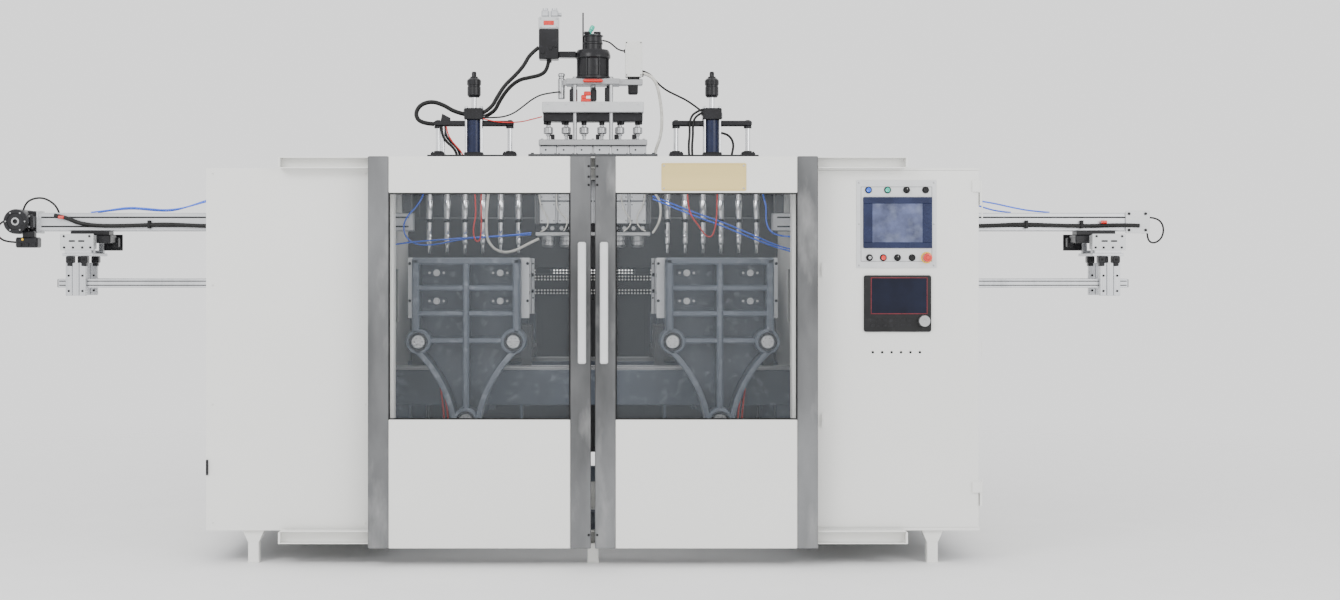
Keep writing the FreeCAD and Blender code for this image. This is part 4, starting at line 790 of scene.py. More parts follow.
def platen(x, face_y, back_y, finish_name, body, node):
    """Ribbed casting whose pockets open towards face_y."""
    out = -1 if face_y < back_y else 1
    half, top, tie, low = 0.255, 1.386, TIE_Z, LOW_TIE_Z
    floor_y = back_y + out * 0.045
    y0, y1 = sorted((face_y, floor_y))
    f0, f1 = sorted((floor_y - out * 0.004, back_y))
    boss = 0.060
    p = Piece()
    edge_points = arm_edge(0.260, 0.042, tie, low)
    outline = round_box(-half, half, tie - 0.03, top, 0.030)[:12]
    p.slab(outline + [(-half, tie), (half, tie)], f0, f1, 0.003, 1)
    p.slab([(-q, w) for q, w in edge_points] + edge_points[::-1], f0, f1, 0.003, 1)
    rim, rib, round_edge = 0.034, 0.030, 0.008
    p.box(-half, half, y0, y1, top - rim, top, round_edge)
    for s in (-1, 1):
        a, b = sorted((s * half, s * (half - rim)))
        p.box(a, b, y0, y1, tie + 0.02, top - 0.004, round_edge)
    p.box(-rib / 2, rib / 2, y0 + (0.002 if out < 0 else 0), y1 - (0.002 if out > 0 else 0),
        low + 0.02, top - 0.01, round_edge)
    for z in (1.242, 1.121, 0.993):
        p.box(-half + 0.01, half - 0.01, y0 + (0.010 if out < 0 else 0),
            y1 - (0.010 if out > 0 else 0), z - 0.013, z + 0.013, 0.006)
    for s in (-1, 1):
        run = [(s * q, w) for q, w in edge_points]
        strip_along(p, run, 0.027 * -s, y0, y1, 0.007)
    for bx, bz in TIE_PLACES:
        p.ring((bx, y0, bz), Y, 0.0335, boss, y1 - y0, 32, 0.006)
        p.ring((bx, y0 - 0.004 if out < 0 else y1 - 0.004, bz), Y, 0.034, 0.046, 0.008, 32, 0.002)
        p.ring((bx, f0, bz), Y, 0.0335, boss, f1 - f0, 32, 0.003)
    for bx in (-0.150, 0.155):
        for bz in (1.313, 1.178):
            a = floor_y - out * 0.004 - (0.006 if out < 0 else 0)
            p.slab(round_box(bx - 0.052, bx + 0.052, bz - 0.017, bz + 0.017, 0.016), a, a + 0.006,
                0.002, 1)
    p.shift(x=x)
    p.done(finish_name, body, "casting", node)
    bolts = Piece()
    for bx in (-0.150, 0.155):
        for bz in (1.313, 1.178):
            at = floor_y + out * 0.006
            for dx in (-0.034, 0.034):
                bolts.cap_screw((bx + dx, at, bz), Y * out, 0.006)
            bolts.hex_bolt((bx, at, bz), Y * out, 0.012)
    bolts.shift(x=x)
    bolts.done(finish_name + "_bolts", body, "machined_steel")


def clamp(side):
    name = side_name(side)
    x = side * STATION_X
    front, rear = name + "_front_clamp", name + "_rear_clamp"
    low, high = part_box(name + "_front_platen")
    platen(x, low.y, high.y, name + "_front_casting", front, name + "_front_platen")
    platen(x, 1.475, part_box(name + "_rear_platen")[0].y, name + "_rear_casting", rear,
        name + "_rear_platen")
    tie, low_tie, radius = TIE_Z, LOW_TIE_Z, 0.032
    yoke_y, yoke_back = 1.655, 1.755
    bars, ends = Piece(), Piece()
    for bx, bz in TIE_PLACES:
        at = low.y
        bars.spin((bx, at, bz), Y, [(0, 0.004), (0.011, 0.004), (0.012, 0.0), (0.027, 0.0),
            (0.028, -0.003), (0.030, -0.003), (radius, 0.0), (radius, yoke_y - at), (0, yoke_y - at)],
            36)
        ends.ring((bx, at - 0.006, bz), Y, 0.0335, 0.044, 0.008, 36, 0.002)
        for c, s in turns(6):
            ends.cap_screw((bx + 0.019 * c, at, bz + 0.019 * s), -Y, 0.0022)
    bars.shift(x=x).done(name + "_tie_bars", front, "machined_steel", name + "_tie_frame")
    ends.shift(x=x).done(name + "_tie_nuts", front, "black_metal")
    yoke = Piece()
    arms = arm_edge(0.284, 0.060, tie - 0.060, low_tie - 0.060)
    yoke.slab(round_box(-0.284, 0.284, tie - 0.060, 1.100, 0.020), yoke_y, yoke_back, 0.006)
    yoke.slab([(-q, w) for q, w in arms] + arms[::-1], yoke_y, yoke_back, 0.006)
    yoke.shift(x=x).done(name + "_pull_plate", front, "casting", name + "_tie_frame")
    ram_z, long = 1.0, 0.500
    cylinder = Piece().spin((0, yoke_back, ram_z), Y, [(0.046, 0), (0.105, 0), (0.105, 0.038),
        (0.102, 0.041), (0.090, 0.041), (0.090, long - 0.041), (0.102, long - 0.041),
        (0.105, long - 0.038), (0.105, long - 0.003), (0.102, long), (0, long)], 48)
    for c, s in turns(8, 0.5):
        cylinder.cap_screw((0.084 * c, yoke_back + long, ram_z + 0.084 * s), Y, 0.008)
    for y in (yoke_back + 0.075, yoke_back + long - 0.075):
        cylinder.block(0, y, ram_z + 0.082, 0.05, 0.05, 0.030, 0.003)
        cylinder.rod((0, y, ram_z + 0.112), Z, 0.014, 0.022)
    cylinder.shift(x=x).done(name + "_clamp_cylinder", front, "black_metal", name + "_tie_frame")
    ram = Piece().rod((x, 1.474, ram_z), Y, 0.045, 0.735, 36, 0.004)
    ram.ring((x, 1.475, ram_z), Y, 0.046, 0.075, 0.018, 36, 0.003)
    ram.done(name + "_ram", rear, "chrome", name + "_rear_platen")
    for half, body, face in (("_front_mould", front, -1), ("_rear_mould", rear, 1)):
        mould_low, mould_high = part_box(name + half)
        plate_y, port_y = (mould_low.y, mould_high.y - 0.080) if face < 0 else (mould_high.y,
            mould_low.y + 0.080)
        fittings = Piece()
        grid(fittings.cap_screw, (-0.2845, 0.2845), (plate_y,), (1.358, 1.178), Y * face, 0.0072)
        for s in (-1, 1):
            for bz in (1.215, 1.300):
                fittings.rod((s * 0.279, port_y, bz), X * s, 0.009, 0.013, 14)
        fittings.shift(x=x).done(name + half + "_screws", body, "black_metal")


# ---- blow units ----
def blow_unit(side):
    name = side_name(side)
    x = side * STATION_X
    body = name + "_blow"
    lift_low, lift_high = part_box(name + "_blow_lift")
    pins, rings = Piece(), Piece()
    for dx in PIN_OFFSETS:
        at = (x + dx, MIDDLE_Y, 0)
        pins.spin(at, Z, [(0, 1.410), (0.0055, 1.410), (0.0078, 1.414), (0.0078, 1.452),
            (0.0125, 1.458), (0.0135, 1.462), (0.0135, 1.500), (0.0128, 1.502), (0.0128, 1.507),
            (0.0135, 1.509), (0.0135, 1.566), (0, 1.566)], 24)
        pins.spin(at, Z, [(0, 1.581), (0.0150, 1.581), (0.0165, 1.586), (0.0165, 1.672),
            (0.0158, 1.674), (0.0158, 1.679), (0.0165, 1.681), (0.0165, lift_low.z), (0, lift_low.z)],
            24)
        rings.ring(at[:2] + (1.565,), Z, 0.0, 0.0185, 0.017, 24, 0.002)
        rings.ring(at[:2] + (1.735,), Z, 0.0165, 0.0240, 0.006, 24, 0.001)
    pins.done(name + "_pins", body, "chrome", name + "_blow_pins")
    rings.done(name + "_pin_rings", body, "black_metal", name + "_blow_pins")
    bar = Piece().block(x, MIDDLE_Y, 1.740, 0.530, 0.100, 0.024, 0.003)
    for dx in PIN_OFFSETS:
        for dy in (-0.034, 0.034):
            bar.hex_bolt((x + dx, MIDDLE_Y + dy, 1.764), Z, 0.006)
    bar.done(name + "_pin_bar", body, "aluminium", name + "_blow_lift")
    head_z = lift_high.z - 0.130
    rod = Piece().rod((x, MIDDLE_Y, 1.760), Z, 0.014, head_z - 1.758, 28)
    rod.done(name + "_blow_rod", body, "chrome", name + "_blow_lift")
    stop = Piece().spin((x, MIDDLE_Y, head_z), Z, [(0, 0), (0.026, 0), (0.034, 0.012), (0.034, 0.052),
        (0.032, 0.054), (0.032, 0.060), (0.034, 0.062), (0.034, 0.088), (0.026, 0.096), (0.020, 0.098),
        (0.020, 0.104), (0.012, 0.106), (0.012, 0.124), (0.009, 0.130), (0, 0.130)], 36)
    for c, s in turns(14):
        px, py = x + 0.0335 * c, MIDDLE_Y + 0.0335 * s
        stop.box(px - 0.0018, px + 0.0018, py - 0.0018, py + 0.0018, head_z + 0.064, head_z + 0.086,
            0.0006)
    stop.done(name + "_stop_head", body, "black_metal", name + "_blow_lift")

    node = name + "_blow_cylinder"
    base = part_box(node)[0].z
    p = Piece().block(x, MIDDLE_Y, base, 0.440, 0.380, 0.008, 0.002)
    for dx in GUIDE_PLACES:
        p.block(x + dx, MIDDLE_Y, base, 0.070, 0.090, 0.028, 0.004)
        p.ring((x + dx, MIDDLE_Y, base + 0.028), Z, 0.0125, 0.022, 0.010, 28, 0.002)
        p.ring((x + dx, MIDDLE_Y, 2.040), Z, 0.0125, 0.020, 0.012, 28, 0.002)
        for ddx in (-0.026, 0.026):
            for ddy in (-0.034, 0.034):
                p.cap_screw((x + dx + ddx, MIDDLE_Y + ddy, base + 0.028), Z, 0.005)
    p.block(x, MIDDLE_Y, 2.050, 0.402, 0.050, 0.028, 0.006)
    for dx in GUIDE_PLACES:
        p.rod((x + dx, MIDDLE_Y, 2.078), Z, 0.011, 0.004, 20)
    p.block(x, MIDDLE_Y, 2.080, 0.095, 0.095, 0.060, 0.005)
    p.block(x, MIDDLE_Y, base + 0.008, 0.095, 0.095, 0.022, 0.004)
    p.ring((x, MIDDLE_Y, 2.134), Z, 0.0145, 0.028, 0.0064, 28, 0.002)
    p.done(name + "_blow_frame", "machine", "black_metal", node)
    Piece().rod((x, MIDDLE_Y, base + 0.03), Z, 0.040, 2.081 - base - 0.03,
        40).done(name + "_blow_tube", "machine", "navy_plastic", node)
    p = Piece()
    for dx in GUIDE_PLACES:
        p.rod((x + dx, MIDDLE_Y, base + 0.02), Z, 0.0125, 2.055 - base - 0.02)
    for dx in (-0.038, 0.038):
        for dy in (-0.038, 0.038):
            at = (x + dx, MIDDLE_Y + dy)
            p.rod(at + (base + 0.02,), Z, 0.006, 2.150 - base - 0.02, 16)
            p.hex_bolt(at + (2.140,), Z, 0.0085)
    if side < 0:
        p.rod((x - 0.156, MIDDLE_Y, base + 0.02), Z, 0.0085, 2.052 - base - 0.02)
    p.done(name + "_guide_columns", "machine", "chrome", node)
    if side < 0:
        bracket = Piece().slab([(x - 0.168, 2.076), (x - 0.118, 2.076), (x - 0.118, 2.092),
            (x - 0.160, 2.114)], MIDDLE_Y - 0.016, MIDDLE_Y - 0.010, 0.001, 1)
        bracket.done("left_blow_bracket", "machine", "black_metal")
    p = Piece()
    for dx, z in ((-0.0475, 2.112), (-0.0475, 2.128), (0.0475, 2.112), (0.0475, 2.098)):
        s = 1 if dx > 0 else -1
        p.rod((x + dx, MIDDLE_Y, z), X * s, 0.0085, 0.006, 6)
    p.done(name + "_blow_ports", "machine", "machined_steel")


# ---- die head ----
def die_head():
    y0, y1 = MIDDLE_Y - 0.095, MIDDLE_Y + 0.095
    core = Piece().box(-0.288, 0.288, y0 + 0.012, y1 - 0.012, 1.552, DECK_Z, 0.002)
    core.box(-0.320, 0.320, 0.695, 1.075, DECK_Z, DECK_Z + 0.012, 0.002)
    grid(core.hex_bolt, (-0.30, 0.30), (0.72, 0.80, 0.97, 1.05), (DECK_Z + 0.012,), Z, 0.008)
    core.done("head_core", "machine", "frame_grey", "die_head")
    covers, screws = Piece(), Piece()
    for x in PIN_OFFSETS:
        for y, out in ((y0, -1), (y1, 1)):
            a, b = sorted((y, y - out * 0.012))
            for z, tall in ((1.556, 0.112), (1.672, 0.112), (1.788, 0.096)):
                covers.box(x - 0.041, x + 0.041, a, b, z, z + tall, 0.004)
            for dx in (-0.030, 0.030):
                for z in (1.572, 1.652, 1.690, 1.770, 1.810, 1.868):
                    screws.cap_screw((x + dx, y, z), Y * out, 0.0032)
            rail_a, rail_b = sorted((y + out * 0.004, y - out * 0.012))
            if x < PIN_OFFSETS[-1]:
                covers.box(x + 0.0415, x + 0.0485, rail_a, rail_b, 1.560, 1.884, 0.0015)
    for s in (-1, 1):
        a, b = sorted((s * 0.288, s * 0.290))
        for z, tall in ((1.560, 0.150), (1.720, 0.160)):
            covers.box(a, b, y0 + 0.02, y1 - 0.02, z, z + tall, 0.0008)
    covers.done("heater_covers", "machine", "aluminium", "die_head")
    screws.done("heater_screws", "machine", "black_metal")
    band = Piece().block(0, MIDDLE_Y, 1.517, 0.570, 0.196, 0.035, 0.003)
    band.done("head_band", "machine", "black_metal", "die_head")
    nuts = Piece()
    for x in PIN_OFFSETS:
        for dx in (-0.022, 0.022):
            for y, out in ((MIDDLE_Y - 0.098, -1), (MIDDLE_Y + 0.098, 1)):
                nuts.hex_bolt((x + dx, y, 1.534), Y * out, 0.0075)
    strip = nuts.block(0, MIDDLE_Y, 1.496, 0.574, 0.190, 0.021, 0.003)
    strip.done("head_strip", "machine", "machined_steel", "die_head")
    dies = Piece()
    for x in PIN_OFFSETS:
        dies.spin((x, MIDDLE_Y, 0), Z, [(0.014, 1.440), (0.025, 1.440), (0.0262, 1.442),
            (0.033, 1.452), (0.033, 1.468), (0.031, 1.470), (0.031, 1.474), (0.033, 1.476),
            (0.033, 1.496), (0.014, 1.496), (0.014, 1.440)], 32)
        for c, s in turns(4, 0.5):
            dies.cap_screw((x + 0.033 * c, MIDDLE_Y + 0.033 * s, 1.486), (c, s, 0), 0.0045)
    dies.done("dies", "machine", "machined_steel", "die_head")
    guides, dots = Piece(), Piece()
    for x in PIN_OFFSETS:
        guides.block(x, MIDDLE_Y, DECK_Z + 0.012, PITCH - 0.005, 0.120, 0.049, 0.003)
        for out in (-1, 1):
            dots.rod((x - 0.012, MIDDLE_Y + out * 0.060, 1.928), Y * out, 0.0045, 0.0012, 16, 0.0003)
            for dx in (-0.035, 0.035):
                dots.cap_screw((x + dx, MIDDLE_Y + out * 0.060, 1.910), Y * out, 0.0028)
    guides.done("guide_blocks", "machine", "aluminium", "die_head")
    dots.done("guide_dots", "machine", "black_metal")


def head_columns():
    p = Piece().block(0, MIDDLE_Y, 1.949, 0.544, 0.160, 0.030, 0.003)
    for x in (-0.255, -0.135, 0.0, 0.135, 0.255):
        for y in (-0.066, 0.066):
            p.cap_screw((x, MIDDLE_Y + y, 1.979), Z, 0.006)
    for x in (-0.091, 0.091):
        for y in (-0.050, 0.050):
            p.rod((x, MIDDLE_Y + y, 1.974), Z, 0.010, 0.286)
            p.hex_bolt((x, MIDDLE_Y + y, 2.286), Z, 0.011)
    p.block(0, MIDDLE_Y, 2.256, 0.270, 0.140, 0.030, 0.003)
    p.box(0.130, 0.250, MIDDLE_Y - 0.030, MIDDLE_Y + 0.030, 2.256, 2.286, 0.003)
    p.box(-0.160, -0.130, MIDDLE_Y - 0.015, MIDDLE_Y + 0.015, 2.256, 2.286, 0.003)
    p.spin((-0.159, MIDDLE_Y, 2.188), Z, [(0, 0), (0.015, 0), (0.018, 0.004), (0.018, 0.100),
        (0.014, 0.106), (0.014, 0.112), (0.018, 0.116), (0.018, 0.126), (0.014, 0.130), (0, 0.130)])
    p.done("head_plates", "machine", "machined_steel", "head_columns")
    grip = Piece()
    y = MIDDLE_Y - 0.088
    for x in (-0.042, 0.042):
        grip.box(x - 0.006, x + 0.006, y, MIDDLE_Y - 0.069, 2.266, 2.278, 0.003)
    grip.box(-0.050, 0.050, y - 0.008, y + 0.004, 2.264, 2.280, 0.005)
    grip.done("lift_handle", "machine", "red_plastic")
    clutter = Piece()
    for x, z, w, h in ((-0.098, 2.172, 0.040, 0.062), (0.080, 2.172, 0.042, 0.070),
            (0.004, 2.176, 0.030, 0.055)):
        clutter.block(x, MIDDLE_Y - 0.035, z, w, 0.040, h, 0.004)
        clutter.rod((x, MIDDLE_Y - 0.035, z + h), Z, 0.012, 0.012, 6)
    clutter.done("proximity_switches", "mandrel_bridge", "black_metal")
    clutter = Piece()
    clutter.box(-0.046, -0.012, MIDDLE_Y - 0.062, MIDDLE_Y - 0.044, 2.200, 2.222, 0.004)
    clutter.box(-0.060, -0.034, MIDDLE_Y - 0.060, MIDDLE_Y - 0.046, 2.184, 2.204, 0.004)
    clutter.block(-0.036, MIDDLE_Y - 0.050, 2.168, 0.050, 0.020, 0.018, 0.003)
    clutter.done("red_connectors", "mandrel_bridge", "red_plastic")


def mandrel_bridge():
    body, node = "mandrel_bridge", "mandrel_bridge"
    z = 2.115
    plate = Piece().block(0, MIDDLE_Y, z, 0.510, 0.160, 0.053, 0.003)
    for x in PIN_OFFSETS:
        plate.cap_screw((x, MIDDLE_Y - 0.080, z + 0.040), -Y, 0.0035)
    plate.done("bridge_plate", body, "light_grey", node)
    band = Piece().block(0, MIDDLE_Y, z - 0.043, 0.500, 0.090, 0.044, 0.003)
    for x in (-0.240, -0.150, 0.150, 0.240):
        band.block(x, MIDDLE_Y, z - 0.056, 0.018, 0.050, 0.016, 0.003)
    for x in PIN_OFFSETS:
        band.rod((x, MIDDLE_Y, z - 0.058), Z, 0.014, 0.016, 20)
    # Painted shadow: five small black blocks under the collars, beside the nuts, stand for the shadows the
    # collars cast; they are not parts.
    for x in (-0.205, -0.115, 0.022, 0.115, 0.205):
        band.block(x + 0.002, MIDDLE_Y + 0.012, 1.986, 0.020, 0.040, 0.024, 0.003)
    band.done("bridge_band_and_painted_shadows", body, "black_metal", node)
    rods = Piece()
    for x in PIN_OFFSETS:
        rods.rod((x, MIDDLE_Y, 1.442), Z, 0.008, z - 0.05 - 1.442, 20)
        rods.spin((x, MIDDLE_Y, 2.012), Z, [(0.008, 0), (0.020, 0), (0.0245, 0.004), (0.0245, 0.030),
            (0.022, 0.033), (0.012, 0.033), (0.012, 0.042), (0.008, 0.042)], 32)
        rods.rod((x, MIDDLE_Y, 2.001), Z, 0.013, 0.011, 6)
    rods.rod((0, MIDDLE_Y, z + 0.05), Z, 0.014, 0.155)
    rods.done("mandrels", body, "machined_steel", node)


def head_drive():
    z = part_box("parison_cylinder")[0].z
    p = Piece().spin((0, MIDDLE_Y, z), Z, [(0, 0), (0.086, 0), (0.088, 0.003), (0.088, 0.014),
        (0.079, 0.018), (0.079, 0.102), (0, 0.102)], 56)
    p.spin((0, MIDDLE_Y, z + 0.102), Z, [(0, 0), (0.083, 0), (0.089, 0.006), (0.089, 0.020),
        (0.083, 0.040), (0.078, 0.046), (0, 0.046)], 56)
    p.spin((0, MIDDLE_Y, z + 0.148), Z, [(0, 0), (0.047, 0), (0.047, 0.028), (0.050, 0.030),
        (0.050, 0.038), (0.046, 0.042), (0.046, 0.066), (0.052, 0.068), (0.052, 0.074), (0.040, 0.079),
        (0, 0.079)], 40)
    for c, s in turns(8, 0.5):
        p.cap_screw((0.074 * c, MIDDLE_Y + 0.074 * s, z + 0.142), Z, 0.006)
        p.rod((0.0825 * c, MIDDLE_Y + 0.0825 * s, z + 0.012), Z, 0.005, 0.092, 12)
    p.block(-0.044, MIDDLE_Y, z + 0.148, 0.020, 0.020, 0.040, 0.003)
    p.rod((-0.050, MIDDLE_Y, z + 0.148), Z, 0.004, 0.190, 14)
    p.block(-0.030, MIDDLE_Y - 0.020, z + 0.226, 0.030, 0.026, 0.014, 0.003)
    p.block(0.022, MIDDLE_Y + 0.006, z + 0.226, 0.036, 0.030, 0.016, 0.003)
    p.done("servo_cylinder", "machine", "black_metal", "parison_cylinder")
    plug = Piece().spin((-0.020, MIDDLE_Y, z + 0.232), (0.5, 0, 0.9),
        [(0, 0), (0.010, 0), (0.010, 0.020), (0.012, 0.022), (0.012, 0.040), (0.008, 0.046),
        (0, 0.046)], 18)
    plug.done("sensor_plug", "machine", "green_plastic")

    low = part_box("servo_valve")[0]
    x = -0.222
    p = Piece().block(x, MIDDLE_Y, low.z, 0.100, 0.090, 0.151, 0.004)
    p.box(x + 0.05, -0.085, MIDDLE_Y - 0.030, MIDDLE_Y + 0.030, low.z + 0.010, low.z + 0.040, 0.003)
    for dx in (-0.030, 0.010, 0.034):
        p.rod((x + dx, MIDDLE_Y - 0.045, low.z + 0.050 + dx * 0.5), -Y, 0.010, 0.006, 18)
    p.rod((x + 0.0, MIDDLE_Y + 0.024, low.z - 0.012), Z, 0.013, 0.014, 6)
    p.done("valve_body", "machine", "black_metal", "servo_valve")
    p = Piece().block(x, MIDDLE_Y, low.z + 0.151, 0.104, 0.092, 0.062, 0.006)
    for dx in (-0.040, 0.040):
        for dz in (0.162, 0.202):
            p.cap_screw((x + dx, MIDDLE_Y - 0.046, low.z + dz), -Y, 0.004)
    p.block(x, MIDDLE_Y - 0.030, low.z + 0.168, 0.050, 0.034, 0.026, 0.002)
    p.done("valve_cover", "machine", "light_grey", "servo_valve")
    p = Piece().box(x - 0.026, x + 0.026, MIDDLE_Y - 0.0485, MIDDLE_Y - 0.0465, low.z + 0.170,
        low.z + 0.192, 0.0006)
    p.done("valve_plate", "machine", "red_plastic")
    p = Piece()
    for dx, wide in ((-0.018, 0.040), (0.028, 0.040)):
        p.block(x + dx, MIDDLE_Y, low.z + 0.212, wide, 0.060, 0.038, 0.008)
        p.rod((x + dx, MIDDLE_Y, low.z + 0.248), Z, 0.014, 0.012, 20)
    p.rod((x + 0.048, MIDDLE_Y, low.z + 0.228), X, 0.010, 0.016, 18)
    p.done("valve_caps", "machine", "aluminium", "servo_valve")

    low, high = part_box("junction_box")
    x = (low.x + high.x) / 2
    p = Piece().block(x, MIDDLE_Y, low.z + 0.012, 0.084, 0.074, 0.178, 0.004)
    p.box(x - 0.043, x + 0.043, MIDDLE_Y - 0.042, MIDDLE_Y - 0.036, low.z + 0.011, high.z + 0.001,
        0.003)
    p.done("terminal_case", "machine", "white_panel", "junction_box")
    p = Piece().block(x, MIDDLE_Y, low.z, 0.060, 0.050, 0.014, 0.003)
    p.box(x - 0.028, x + 0.022, MIDDLE_Y - 0.028, MIDDLE_Y + 0.028, low.z - 0.075, low.z - 0.001, 0.006)
    for dx, dz in ((0.0445, 0.034), (0.0445, 0.022), (-0.0435, 0.144)):
        s = 1 if dx > 0 else -1
        p.rod((x + dx - s * 0.003, MIDDLE_Y - (0.020 if dz < 0.03 else 0.0), low.z + dz), X * s, 0.010,
            0.008, 16)
    for dx in (-0.036, 0.036):
        for dz in (0.020, 0.182):
            p.cap_screw((x + dx, MIDDLE_Y - 0.042, low.z + dz), -Y, 0.003)
    p.done("terminal_mount", "machine", "black_plastic", "junction_box")


# ---- take-outs ----
def take_out(side):
    name = side_name(side)
    body = name + "_takeout"
    beam_low, beam_top = 1.522, 1.612
    end = 2.783
    p = Piece().tube(COLUMN_INNER, end, MIDDLE_Y - 0.045, MIDDLE_Y + 0.045, beam_low, beam_top, 0,
        0.005, 0.004)
    for dy in (-0.022, 0.022):
        for z in (beam_low, beam_top):
            a, b = sorted((z, z + (0.0015 if z > beam_low else -0.0015)))
            p.box(0.92, end - 0.01, MIDDLE_Y + dy - 0.012, MIDDLE_Y + dy + 0.012, a, b, 0.0004)
    finish_side(p, side, name + "_beam", "machine", "aluminium", name + "_takeout_beam")
    p = Piece()
    for z in (beam_low + 0.022, beam_top - 0.022):
        p.box(0.925, end - 0.012, MIDDLE_Y - 0.0458, MIDDLE_Y - 0.0440, z - 0.004, z + 0.004, 0.0005)
        p.box(0.925, end - 0.012, MIDDLE_Y + 0.0440, MIDDLE_Y + 0.0458, z - 0.004, z + 0.004, 0.0005)
    finish_side(p, side, name + "_beam_slots", "machine", "black_metal")
    p = Piece()
    if side > 0:
        p.slab(round_box(end - 0.110, end + 0.010, beam_low - 0.012, beam_top + 0.012, 0.006),
            MIDDLE_Y - 0.057, MIDDLE_Y - 0.0455, 0.0015, 1)
        p.box(end, end + 0.010, MIDDLE_Y - 0.055, MIDDLE_Y + 0.055, beam_low - 0.012, beam_top + 0.012,
            0.002)
        p.done("right_end_plate", "machine", "light_grey", "right_takeout_beam")
        p = Piece()
        grid(p.cap_screw, (end - 0.095, end - 0.012), (MIDDLE_Y - 0.057,),
             (beam_low + 0.004, beam_top - 0.004), -Y, 0.007)
        p.done("right_end_screws", "machine", "black_metal")
    else:
        for dy in (-0.035, 0.035):
            for z in (beam_low + 0.010, beam_top - 0.010):
                p.cap_screw((end + 0.010, MIDDLE_Y + dy, z), X, 0.006)
        p.box(end, end + 0.010, MIDDLE_Y - 0.055, MIDDLE_Y + 0.055, beam_low - 0.012, beam_top + 0.012,
            0.002)
        p.mirror().done("left_end_plate", "machine", "light_grey", "left_takeout_beam")

    p = Piece().box(2.485, 2.651, 0.755, 0.767, 1.424, 1.506, 0.002)
    for x in (2.497, 2.639):
        p.box(x - 0.008, x + 0.008, 0.766, 0.830, 1.430, 1.500, 0.002)
    finish_side(p, side, name + "_front_plate", body, "light_grey", name + "_takeout_carriage")
    p = Piece().box(2.403, 2.525, 0.993, 1.005, 1.424, 1.506, 0.002)
    p.box(2.420, 2.634, 0.825, 0.945, 1.461, 1.500, 0.004)
    p.box(2.430, 2.624, 0.840, 0.930, 1.500, 1.522, 0.003)
    p.box(2.410, 2.440, 0.940, 0.995, 1.440, 1.490, 0.003)
    for x in (2.500, 2.540, 2.586, 2.630):
        p.cap_screw((x, 0.755, 1.438), -Y, 0.0055)
    for x in (2.505, 2.632):
        p.cap_screw((x, 0.755, 1.494), -Y, 0.0055)
    for x in (2.545, 2.592):
        p.slab(round_box(x - 0.016, x + 0.016, 1.466, 1.474, 0.0038), 0.7535, 0.7560, 0.0005, 1)
    finish_side(p, side, name + "_carriage_body", body, "black_metal", name + "_takeout_carriage")
    p = Piece().box(2.485, 2.640, 0.755, 1.015, 1.395, 1.410, 0.002)
    for y in (0.790, 0.960):
        for x in (2.500, 2.620):
            p.box(x - 0.012, x + 0.012, y - 0.012, y + 0.012, 1.409, 1.462, 0.002)
    for y in (0.757, 0.996):
        p.box(2.496, 2.628, y, y + 0.014, 1.409, 1.426, 0.002)
    finish_side(p, side, name + "_tray", body, "aluminium", name + "_takeout_carriage")

    arms = name + "_takeout_arms"
    clamps, rods, screws = Piece(), Piece(), Piece()
    for y in (0.750, 0.950):
        for x in (2.508, 2.578):
            clamps.box(x, x + 0.038, y - 0.020, y + 0.022, 1.361, 1.395, 0.004)
            clamps.box(x + 0.006, x + 0.032, y - 0.016, y + 0.016, 1.345, 1.366, 0.003)
            screws.cap_screw((x + 0.019, y - 0.020, 1.378), -Y, 0.0055)
        for x in (2.518, 2.552, 2.586):
            rods.box(x, x + 0.032, y - 0.0125, y + 0.0125, 1.198, 1.362, 0.002)
            rods.box(x + 0.010, x + 0.022, y - 0.0135, y - 0.0120, 1.199, 1.361, 0.0004)
        rods.box(2.5175, 2.6185, y - 0.006, y + 0.010, 1.199, 1.361, 0.001)
        bar_front, bar_back = y + 0.0125, y + 0.0575
        z0, z1 = 1.2375, 1.2825
        rods.box(1.080, 2.663, bar_front, bar_back, z0, z1, 0.002)
        for z in (z0 + 0.010, z1 - 0.0145):
            screws.box(1.086, 2.657, bar_front - 0.0008, bar_front + 0.001, z, z + 0.0045, 0.0004)
            screws.box(1.086, 2.657, bar_back - 0.001, bar_back + 0.0008, z, z + 0.0045, 0.0004)
        grid(screws.cap_screw, (2.534, 2.602), (y - 0.0125,), (1.222, 1.298), -Y, 0.0055)
        screws.block(1.079, (bar_front + bar_back) / 2, z0 + 0.002, 0.006, 0.041, 0.041, 0.002)
        screws.block(2.664, (bar_front + bar_back) / 2, z0 + 0.002, 0.006, 0.041, 0.041, 0.002)
    finish_side(clamps, side, name + "_arm_clamps", body, "black_metal", arms)
    finish_side(rods, side, name + "_arm_profiles", body, "profile", arms)
    finish_side(screws, side, name + "_arm_screws", body, "black_plastic", arms)


